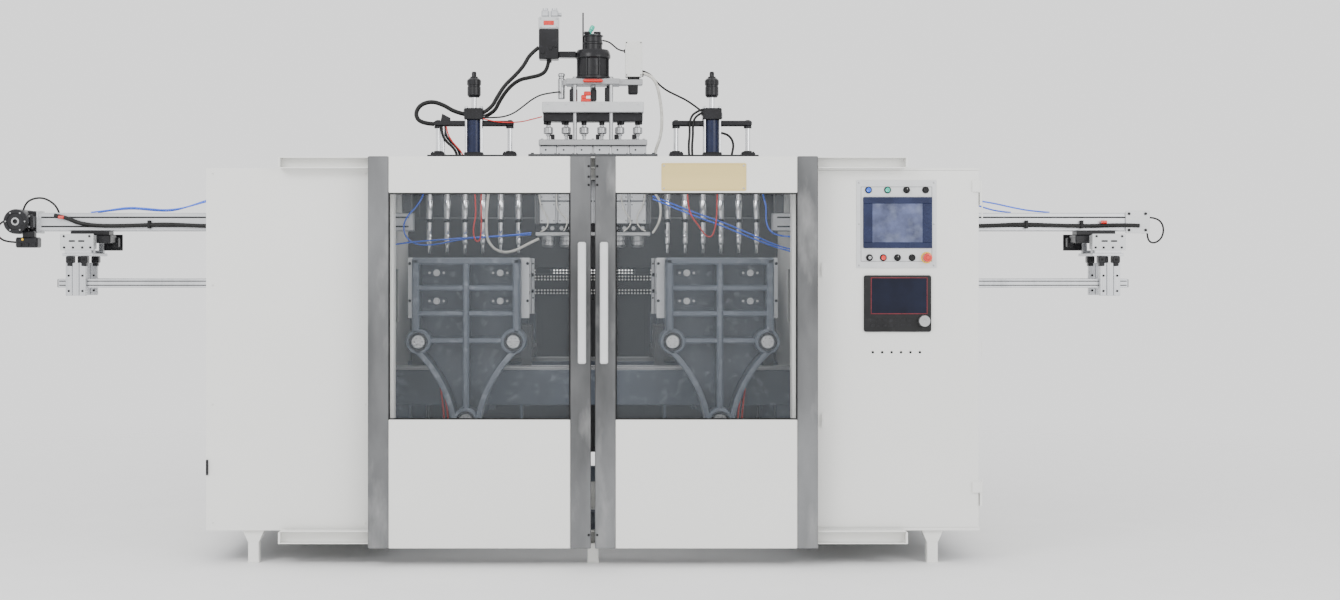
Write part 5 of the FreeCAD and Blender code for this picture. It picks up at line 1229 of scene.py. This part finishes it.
def belt_motor():
    node = "belt_motor"
    x0, x1 = -2.863, -2.793
    z0, z1 = 1.512, 1.622
    p = Piece().box(x0, x1, MIDDLE_Y - 0.055, MIDDLE_Y + 0.055, z0, z1, 0.006)
    p.box(x0 + 0.004, x1, MIDDLE_Y - 0.115, MIDDLE_Y - 0.054, z0 + 0.018, z1 - 0.018, 0.010)
    p.done("motor_case", "machine", "black_metal", node)
    x, z = -2.868, 1.567
    y0, y1 = 0.735, 0.965
    p = Piece().spin((x, y0, z), Y, [(0, 0.010), (0.012, 0.010), (0.014, 0.004), (0.040, 0.004),
        (0.042, 0.0), (0.055, 0.0), (0.060, 0.004), (0.062, 0.010), (0.062, 0.034), (0.060, 0.036),
        (0.060, 0.040), (0.062, 0.042), (0.062, y1 - y0 - 0.008), (0.054, y1 - y0), (0, y1 - y0)], 48)
    for c, s in turns(22):
        px, pz = x + 0.0605 * c, z + 0.0605 * s
        p.box(px - 0.002, px + 0.002, y0 + 0.050, y1 - 0.020, pz - 0.002, pz + 0.002, 0.0008)
    p.done("motor_drum", "machine", "black_metal", node)
    p = Piece()
    for c, s in turns(6):
        p.cap_screw((x + 0.048 * c, y0, z + 0.048 * s), -Y, 0.004)
    p.ring((x, y0 - 0.002, z), Y, 0.012, 0.020, 0.010, 28, 0.001)
    for dz in (-0.026, 0.026):
        p.cap_screw((x1 - 0.016, MIDDLE_Y - 0.115, z + dz), -Y, 0.005)
    p.done("drum_screws", "machine", "machined_steel")
    p = Piece().box(x - 0.005, -2.763, 0.755, 0.823, 1.437, 1.489, 0.006)
    p.box(-2.845, -2.785, 0.775, 0.815, 1.486, 1.520, 0.004)
    for dx in (-0.035, 0.0, 0.035):
        p.rod((-2.815 + dx, 0.755, 1.452), -Y, 0.0095, 0.007, 16)
    p.done("motor_terminals", "machine", "black_metal", node)
    Piece().spin((-2.838, 0.755, 1.478), -Y, [(0, 0), (0.006, 0), (0.005, 0.002), (0, 0.003)],
        16).done("terminal_lamp", "machine", "yellow_plastic")


# ---- operator panel ----
def operator_panel():
    body = "cabinet_door"
    low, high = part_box("operator_panel")
    x0, x1, z0, z1 = low.x, high.x, low.z, high.z
    y = PLATE_Y
    p = Piece().slab(round_box(x0, x1, z0, z1, 0.004), y, CABINET_Y, 0.0006, 1)
    p.done("panel_plate", body, "light_grey", "operator_panel")
    p = Piece()
    for x in (x0 + 0.012, x1 - 0.012):
        for z in (z0 + 0.012, z1 - 0.012, (z0 + z1) / 2):
            p.spin((x, y, z), -Y, [(0, 0), (0.0045, 0), (0.0040, 0.0015), (0.0012, 0.0020),
                (0.0012, 0.0010), (0, 0.0010)], 16)
    p.done("panel_screws", body, "machined_steel")
    p = Piece()
    four_strips(p, x0 + 0.020, x1 - 0.020, z0 + 0.030, z1 - 0.030, 0.0015, y - 0.0006, y + 0.0004,
        0.0001)
    p.done("panel_outline", body, "black_plastic")

    buttons = (("blue_button", "blue_plastic", 0), ("green_button", "green_plastic", 0),
        ("mode_selector", "black_plastic", 1), ("black_button", "black_plastic", 0),
        ("key_selector", "black_plastic", 2), ("lamp_button", "red_plastic", 0),
        ("round_switch", "black_plastic", 1), ("lower_black_button", "black_plastic", 0))
    collars = Piece()
    for node, finish, kind in buttons:
        x, z, r, lo, hi = round_part(node)
        front = lo.y
        collars.spin((x, y + 0.0008, z), -Y, [(r + 0.0004, 0), (0.0156, 0), (0.0156, 0.0050),
            (0.0140, 0.0078), (r + 0.0004, 0.0070), (r + 0.0004, 0)], 40)
        cap = Piece()
        back = y - 0.0048
        deep = back - front
        cap.spin((x, back, z), -Y, [(0, 0), (r, 0), (r, deep - 0.0015),
            (r - 0.0012, deep - (0.002 if kind else 0.0)), (r * 0.55,
            deep - (0.002 if kind else 0.0012)), (0, deep - (0.002 if kind else 0.0014))], 40)
        cap.done(node + "_cap", node, finish, node)
        if kind == 1:
            turn = Piece().slab(round_box(x - 0.0030, x + 0.0030, z - r * 0.92, z + r * 0.92, 0.0028),
                front, front + 0.0045, 0.0008, 2)
            turn.done(node + "_grip", node, "black_plastic", node)
            Piece().box(x - 0.0007, x + 0.0007, front - 0.0004, front + 0.0004, z + 0.002, z + r * 0.8,
                0.0002).done(node + "_pointer", node, "white_panel")
        if kind == 2:
            lock = Piece().ring((x, front + 0.0030, z), -Y, 0.0030, 0.0070, 0.0026, 28, 0.0005)
            lock.done(node + "_lock", node, "chrome", node)
            Piece().box(x - 0.0010, x + 0.0010, front, front + 0.0030, z - 0.0085, z + 0.0085,
                0.0004).done(node + "_key", node, "machined_steel", node)
    x, z, r, lo, hi = round_part("estop_button")
    collars.done("control_collars", body, "black_plastic", "operator_panel")
    Piece().spin((x, y + 0.0008, z), -Y, [(r + 0.0007, 0), (0.0256, 0), (0.0256, 0.0045),
        (0.0246, 0.0068), (0.0238, 0.0074), (r + 0.0007, 0.0074), (r + 0.0007, 0)],
        48).done("estop_collar", body, "yellow_plastic", "operator_panel")
    deep = y - 0.008 - lo.y
    head = Piece().spin((x, y - 0.0078, z), -Y, [(0, 0), (r * 0.62, 0), (r * 0.66, deep * 0.45),
        (r * 0.98, deep * 0.50), (r, deep * 0.56), (r, deep * 0.82), (r * 0.90, deep * 0.97),
        (r * 0.55, deep), (0, deep)], 48)
    head.done("estop_head", "estop_button", "red_plastic", "estop_button")
    ring_mark = Piece().ring((x, lo.y + 0.0006, z), -Y, r * 0.46, r * 0.52, 0.0010, 36, 0.0002)
    ring_mark.done("estop_ring", "estop_button", "dark_red")

    lo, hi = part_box("touch_screen")
    sx0, sx1, sz0, sz1 = 1.2625, 1.4904, 1.4528, 1.6290
    p = Piece()
    front, back = lo.y, hi.y
    bezel = round_box(lo.x, hi.x, lo.z, hi.z, 0.006)
    p.slab(bezel, front + 0.004, back, 0.002, 2)
    for a, b, c, d in ((lo.x, hi.x, sz1, hi.z), (lo.x, hi.x, lo.z, sz0), (lo.x, sx0, sz0, sz1),
            (sx1, hi.x, sz0, sz1)):
        p.box(a + 0.0005, b - 0.0005, front, front + 0.005, c + 0.0002, d - 0.0002, 0.0012)
    p.done("screen_bezel", body, "navy_plastic", "touch_screen")
    Piece().box(sx0, sx1, front + 0.0026, front + 0.0045, sz0, sz1, 0.0004).done("screen_film", body,
        "film")
    keys = Piece()
    for i in range(8):
        z = 1.460 + i * 0.0205
        keys.slab(round_box(1.4994, 1.5220, z, z + 0.0150, 0.003), front - 0.0012, front + 0.001,
            0.0006, 1)
    keys.done("function_keys", body, "navy_plastic")

    lo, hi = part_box("parison_controller")
    front, back = lo.y, hi.y
    p = Piece().slab(round_box(lo.x, hi.x, lo.z, hi.z, 0.010), front, back, 0.003, 2)
    p.done("controller_case", body, "black_plastic", "parison_controller")
    cx0, cx1, cz0, cz1 = 1.2593, 1.5080, 1.1326, 1.2910
    b = Piece()
    for a0, a1, c0, c1 in ((cx0 - 0.004, cx1 + 0.004, cz1, cz1 + 0.004),
            (cx0 - 0.004, cx1 + 0.004, cz0 - 0.004, cz0), (cx0 - 0.004, cx0, cz0, cz1),
            (cx1, cx1 + 0.004, cz0, cz1)):
        b.box(a0, a1, front - 0.0012, front + 0.0010, c0, c1, 0.0004)
    b.done("display_border", body, "dark_red")
    Piece().box(cx0, cx1, front - 0.0006, front + 0.001, cz0, cz1, 0.0002).done("display_glass", body,
        "display")
    keys = Piece()
    for row in range(2):
        for i in range(7):
            x = lo.x + 0.030 + i * 0.0275
            z = lo.z + 0.022 + row * 0.024
            keys.slab(round_box(x, x + 0.019, z, z + 0.014, 0.003), front - 0.0012, front + 0.001,
                0.0005, 1)
    keys.done("controller_keys", body, "black_metal")

    x, z, r, lo, hi = round_part("encoder_knob")
    deep = hi.y - lo.y
    k = Piece().spin((x, hi.y, z), -Y, [(0, 0), (r * 0.98, 0), (r, 0.001), (r, deep * 0.80),
        (r * 0.93, deep), (r * 0.30, deep), (r * 0.26, deep - 0.001), (0, deep - 0.0015)], 60)
    for c, s in turns(48):
        px, pz = x + (r - 0.0003) * c, z + (r - 0.0003) * s
        k.box(px - 0.0006, px + 0.0006, lo.y + deep * 0.22, hi.y - 0.001, pz - 0.0006, pz + 0.0006,
            0.0002)
    k.spin((x + r * 0.56, lo.y + 0.0004, z + r * 0.34), -Y, [(0, 0), (r * 0.20, 0), (r * 0.18, 0.0012),
        (r * 0.12, 0.0004), (0, 0.0001)], 24)
    k.done("knob", "encoder_knob", "machined_steel", "encoder_knob")

    sockets = Piece()
    for i in range(6):
        x = 1.266 + i * 0.0426
        sockets.ring((x, CABINET_Y + 0.0002, 0.956), -Y, 0.0028, 0.0055, 0.0022, 20, 0.0004)
        sockets.rod((x, CABINET_Y + 0.0002, 0.956), -Y, 0.0030, 0.0008, 16, 0.0002)
    sockets.done("sockets", body, "black_plastic")


def cabinets():
    lo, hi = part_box("cabinet_door")
    y = lo.y
    p = Piece()
    for z in (lo.z + 0.18, (lo.z + hi.z) / 2, hi.z - 0.18):
        p.rod((hi.x + 0.0012, CABINET_Y + 0.001, z - 0.035), Z, 0.0030, 0.070, 14)
    p.done("door_hinges", "machine", "white_panel")
    p = Piece()
    for z in (0.62, 1.30):
        p.slab(round_box(lo.x + 0.020, lo.x + 0.036, z, z + 0.060, 0.005), y - 0.003, y + 0.001, 0.001,
            1)
        p.ring((lo.x + 0.028, y - 0.0030, z + 0.030), -Y, 0.002, 0.0055, 0.002, 18, 0.0004)
    p.done("door_locks", "cabinet_door", "white_panel")
    p = Piece().slab(round_box(-1.750, -1.740, 0.400, 0.470, 0.003), CABINET_Y - 0.010,
        CABINET_Y + 0.002, 0.002, 2)
    p.box(-1.748, -1.742, CABINET_Y - 0.014, CABINET_Y - 0.008, 0.415, 0.455, 0.001)
    p.done("left_latch", "machine", "black_metal")
    for side in (-1, 1):
        p = Piece()
        for x in (1.030, 1.720):
            for z in (0.185, 0.72, 1.26, 1.765):
                if side < 0:
                    p.cap_screw((x, CABINET_Y, z), -Y, 0.004)
        wall = 1.750
        for y0 in (0.30, 1.25):
            for i in range(9):
                z = 0.42 + i * 0.030
                p.box(wall - 0.001, wall + 0.006, y0, y0 + 0.300, z, z + 0.012, 0.003)
        grid(p.cap_screw, (wall,), (0.0, 0.62, 1.22, 1.80), (0.185, 0.98, 1.755), X, 0.004)
        grid(p.cap_screw, (1.15, 1.40, 1.65), (1.855,), (0.30, 1.60), Y, 0.004)
        finish_side(p, side, side_name(side) + "_cabinet_fittings", "machine", "white_panel")


def extruder():
    z = 1.750
    node = "extruder_barrel"
    p = Piece()
    y = 1.105
    runs = 7
    step = (STAND_FRONT - 1.110) / runs
    for i in range(runs):
        a = 1.110 + i * step
        p.spin((0, a, z), Y, [(0.06, 0), (0.120, 0), (0.130, 0.006), (0.130, step - 0.016),
            (0.120, step - 0.010), (0.06, step - 0.010)], 56)
    p.rod((0, y, z), Y, 0.105, STAND_FRONT - y, 40)
    p.done("barrel_jacket", "machine", "insulation", node)
    p = Piece()
    for i in range(runs):
        a = 1.110 + (i + 0.5) * step - 0.012
        p.ring((0, a, z), Y, 0.128, 0.1325, 0.018, 56, 0.001)
        p.box(-0.018, 0.018, a - 0.004, a + 0.022, z + 0.128, z + 0.150, 0.003)
        p.hex_bolt((0.018, a + 0.009, z + 0.139), X, 0.006)
    p.done("jacket_bands", "machine", "machined_steel")
    p = Piece().box(-0.110, 0.110, STAND_FRONT, 2.775, STAND_TOP, 1.860, 0.006)
    p.rod((0, 1.075, 1.715), Y, 0.045, 0.050, 32)
    grid(p.hex_bolt, (-0.085, 0.085), (2.54, 2.75), (1.860,), Z, 0.009)
    p.done("feed_block", "machine", "frame_grey", node)
    p = Piece().box(-0.200, 0.200, 2.775, 3.055, STAND_TOP, 1.980, 0.014)
    for x in (-0.200, 0.200):
        s = 1 if x > 0 else -1
        for y in (2.83, 2.915, 3.0):
            p.box(min(x, x - s * 0.01), max(x, x - s * 0.01), y - 0.010, y + 0.010, 1.56, 1.94, 0.002)
        grid(p.hex_bolt, (x,), (2.80, 3.03), (1.53, 1.95), X * s, 0.009)
    p.rod((0.08, 2.915, 1.980), Z, 0.018, 0.020, 20)
    p.done("gear_case", "machine", "motor_grey", "extruder_drive")
    mz = 1.680
    motor = Piece().rod((0, 3.050, mz), Y, 0.122, 0.330, 48)
    for c, s in turns(40):
        if s < -0.86:       # no fins underneath
            continue
        for r in (0.130, 0.135, 0.125):
            motor.box(r * c - 0.0025, r * c + 0.0025, 3.085, 3.345, mz + r * s - 0.0025,
                mz + r * s + 0.0025, 0.001)
    motor.rod((0, 3.050, mz), Y, 0.140, 0.030, 48)
    motor.done("motor_body", "machine", "motor_grey", "extruder_drive")
    fan = Piece().spin((0, 3.365, mz), Y, [(0.110, 0), (0.125, 0), (0.125, 0.048), (0.112, 0.060),
        (0.104, 0.060), (0.104, 0.050), (0.110, 0.040), (0.110, 0)], 48)
    fan.rod((0, 3.360, mz), Y, 0.040, 0.052, 28)
    for c, s in turns(8):
        for r in (0.050, 0.064, 0.078, 0.092):
            fan.box(r * c - 0.008, r * c + 0.008, 3.408, 3.412, mz + r * s - 0.008, mz + r * s + 0.008,
                0.001)
    fan.rod((0, 3.360, mz), Y, 0.112, 0.012, 40)
    fan.done("fan_cover", "machine", "black_metal", "extruder_drive")
    hopper = Piece()
    top, neck = 2.060, 1.860
    for r0, r1, z0, z1 in ((0.048, 0.048, neck, neck + 0.03), (0.048, 0.100, neck + 0.03, top - 0.03),
            (0.100, 0.100, top - 0.03, top)):
        hopper.spin((0, HOPPER_Y, 0), Z, [(r0 - 0.003, z0), (r0, z0), (r1, z1), (r1 - 0.003, z1),
            (r0 - 0.003, z0)], 40)
    hopper.ring((0, HOPPER_Y, neck), Z, 0.045, 0.070, 0.010, 40, 0.002)
    hopper.ring((0, HOPPER_Y, top - 0.010), Z, 0.097, 0.106, 0.010, 40, 0.002)
    for s in (-1, 1):
        hopper.box(s * 0.075 - 0.008, s * 0.075 + 0.008, 2.637, 2.653, neck + 0.10, neck + 0.14, 0.002)
    hopper.done("hopper", "machine", "insulation", node)


# ---- lines inside the machine ----
RED_ROUTE = ((-.742, .800), (-.736, .740), (-.722, .650), (-.712, .540), (-.702, .452), (-.682, .424),
             (-.664, .456), (-.658, .560), (-.656, .650))
RED_ROUTE_2 = ((-.757, .800), (-.752, .740), (-.740, .640), (-.732, .530), (-.718, .430), (-.682, .396),
               (-.650, .430), (-.643, .540), (-.641, .650))


def mirrored(route):
    return tuple((-x, z) for x, z in route)


# name, diameter, finish, depth Y, route as x and z
LINES = (
    ("left_blue_line", 0.008, "blue_tube", 0.810,
     ((-.840, 1.765), (-.846, 1.700), (-.885, 1.640), (-.927, 1.600), (-.952, 1.545), (-.936, 1.487),
      (-.886, 1.452), (-.800, 1.450), (-.700, 1.472), (-.600, 1.486), (-.450, 1.496), (-.310, 1.503))),
    ("left_blue_feed", 0.008, "blue_tube", 0.798,
     ((-.998, 1.452), (-.930, 1.463), (-.850, 1.470), (-.700, 1.482), (-.520, 1.492),
      (-.400, 1.500), (-.308, 1.512))),
    ("left_red_line", 0.007, "red_tube", 0.792,
     ((-.592, 1.766), (-.588, 1.680), (-.584, 1.596), (-.600, 1.531), (-.590, 1.470), (-.562, 1.468),
      (-.556, 1.560), (-.560, 1.660), (-.556, 1.766))),
    ("left_conduit", 0.014, "glass_fibre", 0.797,
     ((-.516, 1.764), (-.530, 1.650), (-.534, 1.540), (-.527, 1.470), (-.487, 1.425), (-.437, 1.411),
      (-.382, 1.425), (-.336, 1.450), (-.296, 1.470), (-.270, 1.482))),
    ("right_blue_line", 0.008, "blue_tube", 0.808,
     ((.298, 1.696), (.350, 1.676), (.487, 1.621), (.658, 1.562), (.813, 1.495),
      (.920, 1.447), (.998, 1.428))),
    ("right_blue_line_2", 0.008, "blue_tube", 0.796,
     ((.298, 1.682), (.360, 1.656), (.480, 1.606), (.650, 1.545), (.800, 1.482),
      (.910, 1.440), (.998, 1.416))),
    ("right_blue_loop", 0.008, "blue_tube", 0.784,
     ((.836, 1.764), (.848, 1.700), (.866, 1.640), (.862, 1.575), (.880, 1.520),
      (.930, 1.494), (.998, 1.492))),
    ("right_red_line", 0.007, "red_tube", 0.786,
     ((.466, 1.764), (.472, 1.690), (.482, 1.606), (.530, 1.545), (.562, 1.495), (.596, 1.488), (.616, 1.560),
      (.620, 1.660), (.622, 1.764))),
    ("right_conduit", 0.012, "glass_fibre", 0.800,
     ((.298, 1.720), (.326, 1.694), (.340, 1.640), (.336, 1.580), (.318, 1.536), (.298, 1.510))),
    ("head_loop_1", 0.007, "glass_fibre", 0.774,
     ((-.268, 1.700), (-.262, 1.640), (-.232, 1.600), (-.220, 1.560), (-.238, 1.524), (-.262, 1.516))),
    ("head_loop_2", 0.007, "glass_fibre", 0.778,
     ((-.180, 1.720), (-.186, 1.650), (-.166, 1.610), (-.130, 1.586), (-.128, 1.548), (-.146, 1.520))),
    ("head_loop_3", 0.007, "glass_fibre", 0.774,
     ((.140, 1.700), (.146, 1.640), (.170, 1.604), (.192, 1.570), (.178, 1.534), (.152, 1.518))),
    ("head_loop_4", 0.007, "glass_fibre", 0.778,
     ((.262, 1.712), (.254, 1.650), (.226, 1.612), (.216, 1.566), (.236, 1.532), (.262, 1.520))),
    ("left_red_hose", 0.010, "red_tube", 0.706, RED_ROUTE),
    ("left_red_hose_2", 0.010, "red_tube", 0.706, RED_ROUTE_2),
    ("right_red_hose", 0.010, "red_tube", 0.706, mirrored(RED_ROUTE)),
    ("right_red_hose_2", 0.010, "red_tube", 0.706, mirrored(RED_ROUTE_2)),
    ("left_beam_bundle", 0.021, "hose_rubber", 0.826,
     ((-2.700, 1.600), (-2.640, 1.588), (-2.580, 1.560), (-2.480, 1.546), (-2.300, 1.548), (-2.150, 1.556),
      (-2.000, 1.548), (-1.850, 1.544), (-1.700, 1.548), (-1.560, 1.546))),
    ("right_beam_bundle", 0.021, "hose_rubber", 0.826,
     ((2.740, 1.548), (2.640, 1.552), (2.500, 1.546), (2.350, 1.548), (2.150, 1.556), (2.000, 1.548),
      (1.850, 1.545), (1.700, 1.548), (1.560, 1.546))),
    ("left_signal_wire", 0.007, "red_tube", 0.862,
     ((-.738, 2.048), (-.734, 2.016), (-.712, 1.976), (-.684, 1.944), (-.660, 1.918), (-.654, 1.898))),
    ("bridge_signal_wire", 0.006, "red_tube", 0.846,
     ((-.5525, 2.086), (-.500, 2.072), (-.430, 2.066), (-.360, 2.070), (-.310, 2.082), (-.256, 2.096))),
)


for name, diameter, finish, depth, route in LINES:
    points = [(x, depth, z) for x, z in route]
    obj = wire(name, points, diameter, finish)


def bundle_clips():
    """Clips and red plugs of the cable bundles on the take-out beams."""
    p = Piece()
    for x in (-2.225, -1.90, 1.90, 2.173, 2.45):
        p.tube(x - 0.006, x + 0.006, 0.812, 0.8405, 1.534, 1.574, 0, 0.002, 0.001)
    p.done("bundle_clips", "machine", "black_plastic")
    p = Piece()
    for x, z in ((-2.664, 1.590), (2.560, 1.566)):
        p.rod((x - 0.014, 0.818, z), X, 0.0085, 0.028, 18)
    p.done("bundle_plugs", "machine", "red_plastic")


floor_frame()
upper_frame()
fence()
perforated_plate()
for side in (-1, 1):
    door(side)
    clamp(side)
    blow_unit(side)
    take_out(side)
name_plate()
die_head()
head_columns()
mandrel_bridge()
head_drive()
belt_motor()
operator_panel()
cabinets()
extruder()
bundle_clips()

# ---- better materials on the parts kept from the frame ----
NODE_FINISH = {"cabinet": "white_panel", "cabinet_door": "white_panel", "door_rails": "white_panel",
               "window": "window", "carriage": "frame_grey", "mould": "aluminium"}
for node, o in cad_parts.items():
    kind = [NODE_FINISH[k] for k in NODE_FINISH if node.endswith(k) and "takeout" not in node]
    o.data.materials.clear()
    o.data.materials.append(M[kind[-1] if kind else "casting"])

# ---- floor and light ----
FLOOR_RADIUS = 9.0
floor = bpy.data.objects.new("floor", bpy.data.meshes.new("floor"))
b = bmesh.new()
bmesh.ops.create_circle(b, cap_ends=True, segments=96, radius=FLOOR_RADIUS)
b.to_mesh(floor.data)
b.free()
bpy.context.scene.collection.objects.link(floor)
floor.data.materials.append(material("floor", (0.90, 0.90, 0.90), rough=0.75, vary=0.01, bump=0.01))
nodes, links = floor.active_material.node_tree.nodes, floor.active_material.node_tree.links
place = nodes.new("ShaderNodeTexCoord")
spread = nodes.new("ShaderNodeVectorMath")
spread.operation = "LENGTH"
links.new(place.outputs["Object"], spread.inputs[0])
fade = nodes.new("ShaderNodeMapRange")
set_inputs(fade, From_Min=3.0, From_Max=FLOOR_RADIUS - 0.5, To_Min=1.0, To_Max=0.0)
links.new(spread.outputs["Value"], fade.inputs["Value"])
links.new(fade.outputs["Result"], nodes["Principled BSDF"].inputs["Alpha"])

world = bpy.data.worlds.new("world")
bpy.context.scene.world = world
world.use_nodes = True
sky = world.node_tree.nodes["Background"]
set_inputs(sky, Color=(1, 1, 1, 1), Strength=1.5)


def lamp(name, place, target, size, power):
    data = bpy.data.lights.new(name, "AREA")
    data.shape = "RECTANGLE"
    data.size, data.size_y = size
    data.energy = power
    obj = bpy.data.objects.new(name, data)
    bpy.context.scene.collection.objects.link(obj)
    obj.location = place
    obj.rotation_euler = (Vector(target) - Vector(place)).to_track_quat("-Z", "Y").to_euler()


LIT_POINT, LAMP_SIZE = (0, 0.6, 1.2), (3.0, 2.0)
lamp("key_light", (-3.5, -5.0, 4.6), LIT_POINT, LAMP_SIZE, power=190)
lamp("fill_light", (4.0, -4.5, 3.0), LIT_POINT, LAMP_SIZE, power=90)
